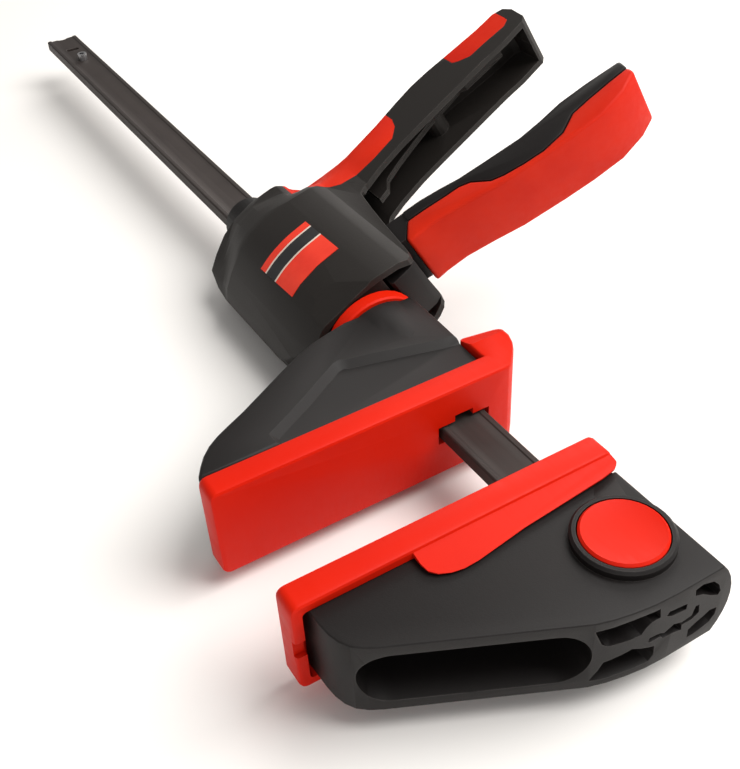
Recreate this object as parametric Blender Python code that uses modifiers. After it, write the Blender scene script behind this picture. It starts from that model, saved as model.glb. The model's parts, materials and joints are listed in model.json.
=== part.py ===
"""One-handed bar clamp with a trigger handle that swivels about its bar.

Metres, +Z up. The bar runs along X, the jaw tips point along +Y, and the origin is the middle
of the fixed pad's clamping face. Every piece is drawn about the bar's axis, which the clamp
frame then sets in place. The handle is built upright in a frame of its own, then turned about
the bar to the angle it lies at.
"""

import math

import bmesh
import bpy
from mathutils import Matrix, Vector

# Shared clearances and finish
WELD = 0.000002
OVERRUN = 0.004
RUNNING_GAP = 0.0003
SEAT_GAP = 0.0003
PRESS_GAP = 0.00005
PIVOT_GAP = 0.0001
FLAT_ANGLE = math.radians(0.5)
EDGE_ANGLE = math.radians(32.0)
SMOOTH_ANGLE = math.radians(34.0)
ROUND_STEPS = 36
SMALL_ROUND_STEPS = 16

# Bar
BAR_WIDTH = 0.0170
BAR_THICKNESS = 0.0052
BAR_FAR_END = 0.4410
BAR_NEAR_END = 0.0460
BAR_CORNER = 0.0005
BAR_GROOVE_WIDTH = 0.0120
BAR_GROOVE_DEPTH = 0.0004
BAR_GROOVE_SLOPE = 0.0004
BAR_END_DIP_RADIUS = 0.0045
BAR_END_DIP_DEPTH = 0.0013
BAR_SLIT_LENGTH = 0.0070
BAR_SLIT_WIDTH = 0.0030
BAR_SLIT_FROM_END = 0.0187
STOP_PIN_FROM_END = 0.0360
STOP_PIN_RADIUS = 0.0025
STOP_PIN_BORE = 0.0013
STOP_PIN_STAND = 0.0030

# Pads
FACE_POINT = 0.0500
JAW_REACH = 0.0840
PAD_STAND = 0.0048
PAD_TIP = JAW_REACH + PAD_STAND
PAD_HEEL = 0.0185
PAD_HALF_THICKNESS = 0.0171
PAD_DEPTH_FIXED = 0.0092
PAD_DEPTH_MOVING = 0.0090
PAD_RIM = 0.0033
PAD_FRONT_WALL = 0.0040
PAD_CORNER = 0.0028
PAD_EDGE = 0.0011
PAD_NOTCH_WIDTH = 0.0060
PAD_NOTCH_DEPTH = 0.0016
PAD_SLOT_GAP_Y = 0.0014
PAD_SLOT_GAP_Z = 0.0009
PAD_SLOT_STEP_WIDTH = 0.0070
PAD_SLOT_STEP_HEIGHT = 0.0024
TONGUE_REACH = 0.0203
TONGUE_RIDGE_DROP = 0.0016
TONGUE_EDGE = 0.0011
LUG_DEPTH = 0.0230
LUG_DROP = 0.0278
LUG_SLOPE = math.radians(20.0)
LUG_RIDGE_FROM_FACE = 0.0160

# Fixed jaw
FIXED_JAW_LENGTH = 0.0569
FIXED_HALF_THICKNESS = 0.0135
FIXED_NOSE_BACK = 0.0134
FIXED_NOSE_TIP_GAP = 0.0018
FIXED_EDGE = 0.0030
HEEL_BULGE_RADIUS = 0.0208
HEEL_STEPS = 8
BAR_SOCKET_GAP = 0.0002
BUTTON_FROM_FACE = 0.0348
BUTTON_RADIUS = 0.0125
BUTTON_TOP = 0.0170
BUTTON_DISH = 0.0012
BUTTON_DISC = 0.0036
BUTTON_SKIRT_WALL = 0.0016
BUTTON_SKIRT = 0.0064
BUTTON_EDGE = 0.0007
BUTTON_TRAVEL = 0.0032
BUTTON_GAP = 0.0004
BUTTON_NECK_RADIUS = 0.0015
BUTTON_SHOULDER_RADIUS = 0.0028
BUTTON_SHOULDER_TOP = 0.0004
BUTTON_SHOULDER_FOOT = 0.0045
COLLAR_RADIUS = 0.0148
COLLAR_TOP = 0.0164
COLLAR_EDGE = 0.0008
CHAMBER_FLOOR = 0.0060
LATCH_BORE_RADIUS = 0.0040
LATCH_BORE_FOOT = 0.0095
KEYHOLE_GAP = 0.0003
RECESS_HALF_WIDTH = 0.0096
RECESS_DEPTH = 0.0160
RECESS_LEAD = 0.0066
RECESS_ROUND_STEPS = 10
CAVITY_DEPTH = 0.0070
BUTTON_SPRING_RADIUS = 0.0085
BUTTON_SPRING_WIRE = 0.0008
BUTTON_SPRING_TURNS = 3

# Moving jaw
MOVING_FACE = 0.0400
MOVING_HALF_THICKNESS = 0.0167
MOVING_TIP_DROP = 0.0006
MOVING_REACH = PAD_TIP - MOVING_TIP_DROP
MOVING_LENGTH = 0.0427
MOVING_EDGE = 0.0020
NOSE_SIDE_GAP = 0.0003
NOSE_END_GAP = 0.0012
NOSE_ROOT = 0.0010
PANEL_DEPTH = 0.0023
PANEL_BAND = 0.0024
PANEL_GROOVE_WIDTH = 0.0018
PANEL_GROOVE_DEPTH = 0.0035
PANEL_GROOVE_TOP = 0.0430
COLLAR_SWELL_RADIUS = 0.0186
COLLAR_SWELL_SHARES = ((0.40, 0.60), (0.52, 0.90), (0.68, 0.955), (0.84, 0.99), (0.93, 1.0), (0.985, 1.0), (1.0, 0.965))
JAW_BAR_GAP = 0.0004

# Swivel
SLEEVE_RADIUS = 0.0130
SLEEVE_BORE = 0.0094
SLEEVE_SEAT = 0.0140
SLEEVE_END = 0.1082
RING_RADIUS = 0.0196
RING_THICKNESS = 0.0055
RING_EDGE = 0.0006
RING_SPIGOT_RADIUS = 0.0170
RING_SPIGOT = 0.0018
CLIP_THICKNESS = 0.0012
CLIP_RADIUS = 0.0150
CLIP_GROOVE_DEPTH = 0.0008

# Rear guide
BUSH_RADIUS = 0.0105
BUSH_FLANGE_RADIUS = 0.0122
BUSH_FLANGE = 0.0020
BUSH_FROM_BACK = 0.0010
BUSH_GAP = 0.0002

# Handle housing
HANDLE_ROLL = math.radians(60.0)
HOUSING_FRONT = 0.0980
HOUSING_LENGTH = 0.1018
HOUSING_DROP = 0.0297
HOUSING_HALF_WIDTH = 0.0218
GRIP_TIP = 0.1316
HOUSING_WALL = 0.0026
HOUSING_EDGE = 0.0018
PARTING_GAP = 0.0001
BULKHEAD_FROM_FRONT = 0.0020
BULKHEAD_THICKNESS = 0.0058
BULKHEAD_TOP = 0.0165
SPRING_SEAT_FROM_FRONT = 0.0600
SPRING_SEAT_THICKNESS = 0.0030
SPRING_SEAT_TOP = 0.0240
REAR_WALL = 0.0062
REAR_WALL_TOP = 0.0240
BAR_BORE_RADIUS = 0.0092
ROOF_HALF_WIDTH = 0.0119
ROOF_FROM_FRONT = 0.0010
ROOF_LENGTH = 0.0470
ROOF_FLOOR = 0.0240
FRONT_BAND_DEPTH = 0.0016
FRONT_BAND = 0.0060
GRIP_SPINE_HALF_WIDTH = 0.0013
STRIP_DEPTH = 0.0016
STRIP_GAP = 0.00012
SCREW_BOSS_RADIUS = 0.0046
SCREW_HEAD_RADIUS = 0.0030
SCREW_HEAD_THICKNESS = 0.0020
SCREW_SHANK_RADIUS = 0.0014
SCREW_LENGTH = 0.0160
SCREW_SINK_BARREL = 0.0105
SCREW_SINK_GRIP = 0.0084
SCREW_GAP = 0.0002

# Trigger
TRIGGER_PIVOT_X = 0.1230
TRIGGER_PIVOT_H = -0.0138
TRIGGER_PIN_RADIUS = 0.0025
TRIGGER_PIN_HALF_LENGTH = 0.0138
TRIGGER_FRONT = 0.0853
TRIGGER_DEPTH = 0.0397
TRIGGER_REACH = 0.1451
TRIGGER_HALF_WIDTH = 0.0125
TRIGGER_EDGE = 0.0024
TRIGGER_WEB_HALF_WIDTH = 0.0080
TRIGGER_JOINT_GAP = 0.0002
FORK_INNER = 0.0109
FORK_OUTER = 0.0124
NECK_HALF_WIDTH = 0.0115
RETURN_SPRING_RADIUS = 0.0033
RETURN_SPRING_WIRE = 0.0008
RETURN_SPRING_TURNS = 3
RETURN_SPRING_PITCH = 0.0016
RETURN_SPRING_START = 0.0058

# Release lever
RELEASE_PIVOT_X = 0.1030
RELEASE_PIVOT_H = 0.0260
RELEASE_PIN_RADIUS = 0.0015
RELEASE_PIN_HALF_LENGTH = 0.0145
RELEASE_HALF_WIDTH = 0.0115
RELEASE_NOSE_HALF_WIDTH = 0.0070
RELEASE_EDGE = 0.0008
RELEASE_DEPTH = 0.0148
RELEASE_HEIGHT = 0.0180
RELEASE_HEAD = 0.0036
RELEASE_HEAD_DEPTH = 0.0086

# Drive and brake
PLATE_HOLE_GAP = 0.0002
DRIVE_PLATE_RADIUS = 0.0150
DRIVE_PLATE_THICKNESS = 0.0026
DRIVE_NOSE_FROM_PIVOT = 0.0039
BRAKE_PLATE_RADIUS = 0.0140
BRAKE_PLATE_THICKNESS = 0.0026
COIL_POINTS = 9
DRIVE_SPRING_RADIUS = 0.0102
DRIVE_SPRING_WIRE = 0.0012
DRIVE_SPRING_TURNS = 6
BRAKE_SPRING_RADIUS = 0.0100
BRAKE_SPRING_WIRE = 0.0010
BRAKE_SPRING_TURNS = 3

# Outlines, as shares of the sizes that they follow
FRONT_TOP_SHARE = (0.506, 0.883)
FRONT_FOOT_SHARE = (0.930, 0.293)
FIXED_BODY_SHARES = (
    (0.255, 0.992), (0.320, 0.987), (0.380, 0.975), (0.432, 0.954), (0.473, 0.921), FRONT_TOP_SHARE,
    (0.605, 0.746), (0.750, 0.543), FRONT_FOOT_SHARE,
    (0.956, 0.236), (0.977, 0.169), (0.993, 0.095), (1.000, 0.012), (1.000, -0.095),
    (0.988, -0.145), (0.942, -0.177), (0.870, -0.186), (0.246, -0.186),
)
TONGUE_SHARES = (
    (0.345, 0.612), (0.640, 0.612), (0.788, 0.606), (0.892, 0.584), (0.966, 0.545), (1.000, 0.500),
    (0.990, 0.440), (0.940, 0.357), (0.865, 0.238), (0.823, 0.119), (0.778, 0.000), (0.734, -0.119),
    (0.690, -0.179), (0.606, -0.208), (0.345, -0.214),
)
MOVING_BODY_SHARES = (
    (0.000, 1.000), (0.049, 0.989), (0.115, 0.969), (0.194, 0.941), (0.274, 0.902), (0.340, 0.855),
    (0.396, 0.803), (0.480, 0.721), (0.607, 0.612), (0.747, 0.492), (0.845, 0.404), (0.916, 0.322),
    (0.958, 0.249), (1.000, 0.159), (1.000, -0.154), (0.532, -0.152), (0.000, -0.143),
)
PANEL_SHARES = (
    (0.131, 0.701), (0.232, 0.612), (0.340, 0.515), (0.471, 0.410), (0.569, 0.329), (0.588, 0.297),
    (0.560, 0.263), (0.504, 0.163), (0.445, 0.059), (0.354, -0.092), (0.316, -0.200), (-0.100, -0.200),
    (-0.100, 0.701),
)
LUG_SHARES = (
    (0.017, 0.432), (0.009, 0.640), (0.052, 0.705), (0.300, 0.885), (0.443, 0.957), (0.591, 1.000),
    (0.783, 1.000), (0.852, 0.957), (1.000, 0.561), (0.983, 0.496), (0.435, 0.489), (0.191, 0.525),
    (0.191, 0.432),
)
CAVITY_SHARES = (
    (
        (0.292, 0.756), (0.232, 0.770), (0.155, 0.793), (0.071, 0.793), (0.065, 0.504), (0.098, 0.489),
        (0.117, 0.370), (0.131, 0.215), (0.190, 0.193), (0.248, 0.215), (0.267, 0.326), (0.282, 0.578),
    ),
    (
        (0.295, -0.763), (0.269, -0.489), (0.254, -0.267), (0.198, -0.207), (0.158, -0.133), (0.124, -0.237),
        (0.070, -0.356), (0.067, -0.637), (0.086, -0.793), (0.143, -0.807), (0.202, -0.800), (0.256, -0.815),
    ),
    (
        (0.040, 0.444), (0.029, 0.548), (-0.045, 0.474), (-0.044, 0.311), (0.019, 0.370),
    ),
    (
        (0.100, -0.111), (0.096, 0.000), (0.055, -0.022), (0.038, -0.081), (0.001, 0.044), (-0.035, -0.052),
        (-0.050, -0.044), (-0.076, -0.015), (-0.087, 0.222), (-0.104, 0.207), (-0.108, -0.052), (-0.081, -0.156),
        (-0.038, -0.156), (-0.040, -0.319), (0.002, -0.244), (0.039, -0.244), (0.050, -0.141), (0.089, -0.163),
    ),
    (
        (-0.076, 0.578), (-0.071, 0.770), (-0.102, 0.815), (-0.150, 0.711), (-0.179, 0.504), (-0.193, 0.267),
        (-0.183, 0.163), (-0.148, 0.296), (-0.110, 0.489),
    ),
    (
        (-0.074, -0.711), (-0.073, -0.459), (-0.104, -0.356), (-0.136, -0.281), (-0.160, -0.207), (-0.193, -0.252),
        (-0.190, -0.459), (-0.170, -0.607), (-0.132, -0.681), (-0.099, -0.726),
    ),
)
BARREL_SHARES = (
    (0.000, -0.626), (0.054, -0.761), (0.108, -0.875), (0.157, -0.963), (0.216, -1.000), (0.683, -1.000),
    (0.755, -0.966), (0.839, -0.862), (0.911, -0.660), (0.974, -0.424), (1.000, -0.135), (1.000, 0.370),
    (0.978, 0.498), (0.915, 0.687), (0.868, 0.808), (0.800, 0.896),
)
GRIP_SHARES = (
    (0.762, 0.223), (0.723, 0.270), (0.703, 0.342), (0.703, 0.464), (0.719, 0.562), (0.727, 0.631),
    (0.723, 0.699), (0.711, 0.775), (0.695, 0.889), (0.694, 0.957), (0.674, 0.988), (0.633, 1.000),
    (0.556, 0.997), (0.536, 0.980), (0.528, 0.897), (0.532, 0.813), (0.530, 0.729), (0.527, 0.638),
    (0.525, 0.547), (0.521, 0.461), (0.507, 0.369), (0.487, 0.304), (0.462, 0.277), (0.354, 0.263),
    (0.250, 0.251), (0.135, 0.240), (0.043, 0.231), (0.012, 0.223), (0.000, 0.210),
)
SECTION_BARREL_SHARES = (
    (0.670, 0.990), (0.807, 0.822), (0.927, 0.502), (1.000, 0.135), (0.982, -0.168), (0.899, -0.391),
    (0.683, -0.667), (0.477, -0.875), (0.257, -1.000),
)
SECTION_GRIP_SHARES = ((0.532, 1.010), (0.532, 0.312), (0.596, 0.274))
GRIP_SPINE_SHARES = (
    (0.457, 0.315), (0.497, 0.349), (0.548, 0.378), (0.571, 0.434), (0.594, 0.511), (0.619, 0.612),
    (0.635, 0.729), (0.900, 0.740), (0.900, 0.315),
)
GRIP_SHELF_SHARES = ((0.635, 0.729), (0.615, 0.750), (0.612, 0.900), (0.900, 0.900), (0.900, 0.729))
FRONT_BAND_SHARES = (
    (-0.100, 0.820), (0.033, 0.559), (0.099, 0.205), (0.135, -0.030), (0.151, -0.293), (0.161, -0.562),
    (0.159, -1.200), (-0.100, -1.200),
)
LOWER_STRIP_SHARES = (
    (0.900, 0.175), (0.733, 0.175), (0.666, 0.192), (0.597, 0.231), (0.573, 0.260), (0.570, 0.311), (0.568, 0.382),
    (0.578, 0.466), (0.618, 0.500), (0.662, 0.513), (0.900, 0.513),
)
UPPER_STRIP_SHARES = (
    (0.900, 0.761), (0.652, 0.761), (0.631, 0.777), (0.605, 0.808), (0.602, 0.865), (0.592, 0.940), (0.606, 0.962),
    (0.627, 0.965), (0.900, 0.965),
)
SCREW_SHARES = ((0.511, -0.152, "barrel"), (0.815, -0.106, "barrel"), (0.835, 0.106, "barrel"), (0.662, 0.620, "grip"))
COVER_BACK_SHARES = (
    (0.773, 0.364), (0.728, 0.413), (0.665, 0.469), (0.622, 0.513), (0.557, 0.540), (0.385, 0.572),
    (0.320, 0.602), (0.249, 0.651), (0.191, 0.706), (0.184, 0.770), (0.270, 0.824), (0.259, 0.875),
    (0.234, 0.937), (0.204, 0.994),
)
COVER_FRONT_SHARES = (
    (0.108, 0.992), (0.028, 0.936), (0.000, 0.860), (0.058, 0.773), (0.139, 0.688), (0.264, 0.576),
    (0.390, 0.495), (0.491, 0.423), (0.537, 0.361), (0.544, 0.325), (0.607, 0.327),
)
SPINE_BACK_SHARES = (
    (0.335, 1.000), (0.431, 0.908), (0.491, 0.831), (0.501, 0.764), (0.526, 0.702), (0.627, 0.605),
    (0.708, 0.531), (0.791, 0.479), (0.864, 0.426), (0.914, 0.371),
)
NECK_SHARES = (
    (0.864, 0.426), (0.914, 0.371), (1.000, 0.271), (1.020, 0.223), (0.806, 0.223), (0.743, 0.266),
    (0.647, 0.309), (0.627, 0.327), (0.781, 0.362), (0.788, 0.385),
)
WEB_SHARES = (
    (0.824, 0.398), (0.718, 0.481), (0.612, 0.532), (0.511, 0.520), (0.486, 0.506), (0.557, 0.453),
    (0.617, 0.398), (0.652, 0.361), (0.788, 0.378),
)
FORK_SHARES = (
    (0.962, 0.261), (0.990, 0.178), (1.048, 0.126), (1.035, 0.068), (1.053, 0.006), (1.015, -0.021),
    (0.950, -0.029), (0.884, -0.021), (0.846, 0.006), (0.854, 0.160), (0.804, 0.198), (0.788, 0.261),
)
RELEASE_SHARES = (
    (0.000, 0.160), (0.000, 0.600), (0.080, 0.660), (0.400, 0.640), (0.560, 0.700), (0.830, 0.980), (1.000, 1.000),
    (1.000, 0.820), (0.600, 0.330), (0.560, 0.080), (0.480, 0.000), (0.080, 0.000),
)

AXES = {"X": Vector((1, 0, 0)), "Y": Vector((0, 1, 0)), "Z": Vector((0, 0, 1))}
PLANES = {
    "XY": (Matrix.Identity(4), AXES["Z"]),
    "XZ": (Matrix.Rotation(math.pi / 2, 4, "X"), AXES["Y"]),
    "YZ": (Matrix(((0, 0, 1, 0), (1, 0, 0, 0), (0, 1, 0, 0), (0, 0, 0, 1))), AXES["X"]),
}
TURNED_ABOUT = {
    "X": Matrix.Rotation(math.pi / 2, 4, "Y"),
    "Y": Matrix.Rotation(-math.pi / 2, 4, "X"),
    "Z": Matrix.Identity(4),
}


def linked_collection(name):
    collection = bpy.data.collections.new(name)
    bpy.context.scene.collection.children.link(collection)
    return collection


for leftover in list(bpy.data.objects):
    bpy.data.objects.remove(leftover, do_unlink=True)

PARTS = linked_collection("bar_clamp")
CUTTERS = linked_collection("cutters")


def frame_empty(name, place, parent=None):
    """An empty that carries pieces, and that keeps where it stands in its parent's measures."""
    empty = bpy.data.objects.new(name, None)
    PARTS.objects.link(empty)
    empty.parent = parent
    empty.location = place
    if parent:
        empty["stands_at"] = place
    return empty


clamp_frame = frame_empty("clamp_frame", (0, -FACE_POINT, 0))


# Materials
def principled(name, colour, roughness, metallic=0.0):
    material = bpy.data.materials.new(name)
    material.use_nodes = True
    shader = material.node_tree.nodes["Principled BSDF"]
    shader.inputs["Base Color"].default_value = (*colour, 1.0)
    shader.inputs["Roughness"].default_value = roughness
    shader.inputs["Metallic"].default_value = metallic
    return material


BLACK_PLASTIC = principled("black_plastic", (0.045, 0.042, 0.040), 0.55)
CHARCOAL_PLASTIC = principled("charcoal_plastic", (0.050, 0.048, 0.047), 0.50)
RED_PLASTIC = principled("red_plastic", (0.80, 0.02, 0.01), 0.35)
SOFT_RED = principled("soft_red", (0.78, 0.03, 0.02), 0.60)
DARK_STEEL = principled("dark_steel", (0.085, 0.072, 0.068), 0.42, 0.85)
PLAIN_STEEL = principled("plain_steel", (0.45, 0.45, 0.46), 0.35, 1.0)
SPRING_STEEL = principled("spring_steel", (0.30, 0.30, 0.31), 0.30, 1.0)


# Modelling helpers
def evaluated_mesh(obj):
    bpy.context.view_layer.update()
    graph = bpy.context.evaluated_depsgraph_get()
    return bpy.data.meshes.new_from_object(obj.evaluated_get(graph))


def tidied(mesh, flatten=False):
    work = bmesh.new()
    work.from_mesh(mesh)
    bmesh.ops.remove_doubles(work, verts=work.verts, dist=WELD)
    if flatten:
        bmesh.ops.dissolve_limit(work, angle_limit=FLAT_ANGLE, verts=work.verts, edges=work.edges)
    cracks = [edge for edge in work.edges if edge.is_boundary]
    if cracks:
        bmesh.ops.holes_fill(work, edges=cracks, sides=4)
        bmesh.ops.dissolve_degenerate(work, dist=WELD, edges=work.edges)
    bmesh.ops.recalc_face_normals(work, faces=work.faces)
    work.to_mesh(mesh)
    work.free()
    return mesh


def solid(name, mesh):
    obj = bpy.data.objects.new(name, mesh)
    CUTTERS.objects.link(obj)
    obj.hide_render = True
    obj.display_type = "WIRE"
    return obj


def plate(name, outlines, low, high, plane="XY"):
    """A flat outline, with any holes, between two levels on the axis square to its plane."""
    turn, axis = PLANES[plane]
    curve = bpy.data.curves.new(name, "CURVE")
    curve.dimensions = "2D"
    curve.fill_mode = "BOTH"
    curve.extrude = (high - low) / 2
    for outline in outlines:
        spline = curve.splines.new("POLY")
        spline.points.add(len(outline) - 1)
        for point, (across, up) in zip(spline.points, outline):
            point.co = (across, up, 0, 1)
        spline.use_cyclic_u = True
    drawn = bpy.data.objects.new(name + "_outline", curve)
    CUTTERS.objects.link(drawn)
    mesh = evaluated_mesh(drawn)
    bpy.data.objects.remove(drawn, do_unlink=True)
    mesh.transform(Matrix.Translation(axis * (low + high) / 2) @ turn)
    return solid(name, tidied(mesh, flatten=True))


def sunk_panel(name, outline, face, depth, band, plane="XY"):
    """A cutter for a panel sunk into a face at a level, its border sloping down over a band."""
    turn, axis = PLANES[plane]
    outward = 1 if face > 0 else -1
    levels = (face - outward * depth, face, face + outward * OVERRUN)
    rings = (grown(outline, -band), outline, outline)
    count = len(outline)
    points = []
    for ring, level in zip(rings, levels):
        points += [turn @ Vector((across, up, 0)) + axis * level for across, up in ring]
    faces = [tuple(range(count)), tuple(range(2 * count, 3 * count))]
    for ring in (0, count):
        for index in range(count):
            after = (index + 1) % count
            faces.append((ring + index, ring + after, ring + count + after, ring + count + index))
    mesh = bpy.data.meshes.new(name)
    mesh.from_pydata(points, [], faces)
    return solid(name, tidied(mesh))


def turned(name, profile, start, axis="Z", steps=ROUND_STEPS):
    """A profile of (radius, distance along the axis) points, revolved and set at a start point."""
    mesh = bpy.data.meshes.new(name)
    count = len(profile)
    closed = min(radius for radius, _ in profile) > 0
    edges = [(index, (index + 1) % count) for index in range(count if closed else count - 1)]
    mesh.from_pydata([(radius, 0, along) for radius, along in profile], edges, [])
    obj = bpy.data.objects.new(name + "_profile", mesh)
    CUTTERS.objects.link(obj)
    screw = obj.modifiers.new("revolve", "SCREW")
    screw.steps = steps
    screw.render_steps = steps
    screw.use_merge_vertices = True
    screw.merge_threshold = WELD
    revolved = evaluated_mesh(obj)
    bpy.data.objects.remove(obj, do_unlink=True)
    revolved.transform(Matrix.Translation(start) @ TURNED_ABOUT[axis])
    return solid(name, tidied(revolved))


def rod(name, radius, start, end, axis, steps=SMALL_ROUND_STEPS):
    length = (end - start).length
    return turned(name, ((0, length), (radius, length), (radius, 0), (0, 0)), start, axis, steps)


def block(name, low, high):
    mesh = bpy.data.meshes.new(name)
    work = bmesh.new()
    bmesh.ops.create_cube(work, size=1.0)
    size = [upper - lower for lower, upper in zip(low, high)]
    middle = [(upper + lower) / 2 for lower, upper in zip(low, high)]
    bmesh.ops.transform(work, matrix=Matrix.Translation(middle) @ Matrix.Diagonal((*size, 1.0)), verts=work.verts)
    work.to_mesh(mesh)
    work.free()
    return solid(name, mesh)


def coil(name, radius, wire, length, turns, start, axis="X"):
    """An unbroken round-wire coil between two seats, its ends laid straight for one wire."""
    curve = bpy.data.curves.new(name, "CURVE")
    curve.dimensions = "3D"
    curve.bevel_depth = wire / 2
    curve.bevel_resolution = 1
    curve.use_fill_caps = True
    points = []
    total = turns * COIL_POINTS
    rise = length - wire
    for index in range(total + 1):
        angle = 2 * math.pi * index / COIL_POINTS
        points.append(Vector((radius * math.cos(angle), radius * math.sin(angle), wire / 2 + rise * index / total)))
    points.insert(0, points[0] + Vector((0, -wire, 0)))
    points.append(points[-1] + Vector((0, wire, 0)))
    spline = curve.splines.new("POLY")
    spline.points.add(len(points) - 1)
    for point, place in zip(spline.points, points):
        point.co = (*place, 1)
    drawn = bpy.data.objects.new(name + "_wire", curve)
    CUTTERS.objects.link(drawn)
    mesh = evaluated_mesh(drawn)
    bpy.data.objects.remove(drawn, do_unlink=True)
    mesh = tidied(mesh)
    mesh.transform(Matrix.Translation(start) @ TURNED_ABOUT[axis])
    pitch = rise / turns
    print(f"{name}: least gap between turns {(pitch - wire) * 1000:.2f} mm")
    return solid(name, mesh)


def soften(obj, width, segments=2):
    """Rounds the edges of a solid whose flat faces are first made whole."""
    obj.data = tidied(obj.data, flatten=True)
    bevel = obj.modifiers.new("soft_edges", "BEVEL")
    bevel.width = width
    bevel.segments = segments
    bevel.limit_method = "ANGLE"
    bevel.angle_limit = EDGE_ANGLE
    return obj


def combine(obj, other, operation):
    boolean = obj.modifiers.new(f"{operation.lower()}_{other.name}"[:60], "BOOLEAN")
    boolean.operation = operation
    boolean.object = other
    boolean.solver = "EXACT"
    return baked(obj)


def cut(obj, *others):
    for other in others:
        combine(obj, other, "DIFFERENCE")
    return obj


def join(obj, *others):
    for other in others:
        combine(obj, other, "UNION")
    return obj


def keep(obj, other):
    return combine(obj, other, "INTERSECT")


def baked(obj):
    """Applies the modifiers so far, so that the next step meets clean faces."""
    mesh = evaluated_mesh(obj)
    obj.modifiers.clear()
    obj.data = tidied(mesh)
    return obj


def finish(obj, material, parent=clamp_frame):
    """Makes a solid a part: its material, its collection and the frame that carries it."""
    CUTTERS.objects.unlink(obj)
    PARTS.objects.link(obj)
    obj.hide_render = False
    obj.display_type = "TEXTURED"
    obj.data.materials.clear()
    obj.data.materials.append(material)
    for polygon in obj.data.polygons:
        polygon.material_index = 0
    obj.data.shade_smooth()
    obj.data.set_sharp_from_angle(angle=SMOOTH_ANGLE)
    obj.parent = parent
    obj.location = -frame_offset(parent)
    return obj


def frame_offset(frame):
    """Where a pivot stands in the frame of its own assembly, so that parts keep that frame's measures."""
    return Vector(frame.get("stands_at", (0, 0, 0)))


def scaled(shares, first, across, second, up):
    return [(first + across * a, second + up * b) for a, b in shares]


def rectangle(low_a, high_a, low_b, high_b):
    return [(low_a, low_b), (high_a, low_b), (high_a, high_b), (low_a, high_b)]


def rounded_rectangle(low_a, high_a, low_b, high_b, radius, steps=4):
    corners = ((high_a, high_b, 0), (low_a, high_b, 1), (low_a, low_b, 2), (high_a, low_b, 3))
    points = []
    for across, up, quarter in corners:
        inward_a = -radius if quarter in (0, 3) else radius
        inward_b = -radius if quarter in (0, 1) else radius
        for step in range(steps + 1):
            angle = math.pi / 2 * (quarter + step / steps)
            points.append((across + inward_a + radius * math.cos(angle), up + inward_b + radius * math.sin(angle)))
    return points


def grown(outline, distance):
    """The outline moved outward by a distance, or inward when it is negative, with mitred corners."""
    count = len(outline)
    area = sum(
        outline[i][0] * outline[(i + 1) % count][1] - outline[(i + 1) % count][0] * outline[i][1]
        for i in range(count)
    )
    side = distance if area > 0 else -distance
    moved = []
    for index, point in enumerate(outline):
        here = Vector(point)
        before = (here - Vector(outline[index - 1])).normalized()
        after = (Vector(outline[(index + 1) % count]) - here).normalized()
        normal_before = Vector((before.y, -before.x))
        normal_after = Vector((after.y, -after.x))
        middle = normal_before + normal_after
        moved.append(tuple(here + middle * (side * 2 / middle.length_squared)))
    return moved


def bar_hole(name, start, end, gap_y, gap_z):
    half_width = BAR_WIDTH / 2 + gap_y
    half_height = BAR_THICKNESS / 2 + gap_z
    return plate(name, [rectangle(-half_width, half_width, -half_height, half_height)], start, end, "YZ")


# Bar
def bar_section():
    half_width = BAR_WIDTH / 2
    half_height = BAR_THICKNESS / 2
    groove = BAR_GROOVE_WIDTH / 2
    quarter = [
        (half_width, half_height - BAR_CORNER),
        (half_width - BAR_CORNER, half_height),
        (groove + BAR_GROOVE_SLOPE, half_height),
        (groove, half_height - BAR_GROOVE_DEPTH),
    ]
    top = quarter + [(-y, z) for y, z in reversed(quarter)]
    return top + [(y, -z) for y, z in reversed(top)]


bar = plate("bar", [bar_section()], -BAR_NEAR_END, BAR_FAR_END, "YZ")
tall = BAR_THICKNESS / 2 + OVERRUN
end_dip = rod(
    "bar_end_dip",
    BAR_END_DIP_RADIUS,
    Vector((BAR_FAR_END + BAR_END_DIP_RADIUS - BAR_END_DIP_DEPTH, 0, -tall)),
    Vector((BAR_FAR_END + BAR_END_DIP_RADIUS - BAR_END_DIP_DEPTH, 0, tall)),
    "Z",
)
slit_x = BAR_FAR_END - BAR_SLIT_FROM_END
slit = plate(
    "bar_slit",
    [
        rounded_rectangle(
            slit_x - BAR_SLIT_WIDTH / 2,
            slit_x + BAR_SLIT_WIDTH / 2,
            -BAR_SLIT_LENGTH / 2,
            BAR_SLIT_LENGTH / 2,
            BAR_SLIT_WIDTH / 2 - WELD,
        )
    ],
    -tall,
    tall,
)
pin_x = BAR_FAR_END - STOP_PIN_FROM_END
pin_hole = rod("stop_pin_hole", STOP_PIN_RADIUS + PRESS_GAP, Vector((pin_x, 0, -tall)), Vector((pin_x, 0, tall)), "Z")
shoulder_hole = BUTTON_SHOULDER_RADIUS + KEYHOLE_GAP
keyhole = rod("bar_keyhole", shoulder_hole, Vector((-BUTTON_FROM_FACE, 0, -tall)), Vector((-BUTTON_FROM_FACE, 0, tall)), "Z")
neck_slot = BUTTON_NECK_RADIUS + KEYHOLE_GAP
key_slot = plate(
    "bar_key_slot",
    [rectangle(-BAR_NEAR_END - OVERRUN, -BUTTON_FROM_FACE, -neck_slot, neck_slot)],
    -tall,
    tall,
)
cut(bar, end_dip, slit, pin_hole, keyhole, key_slot)
finish(bar, DARK_STEEL)

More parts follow.
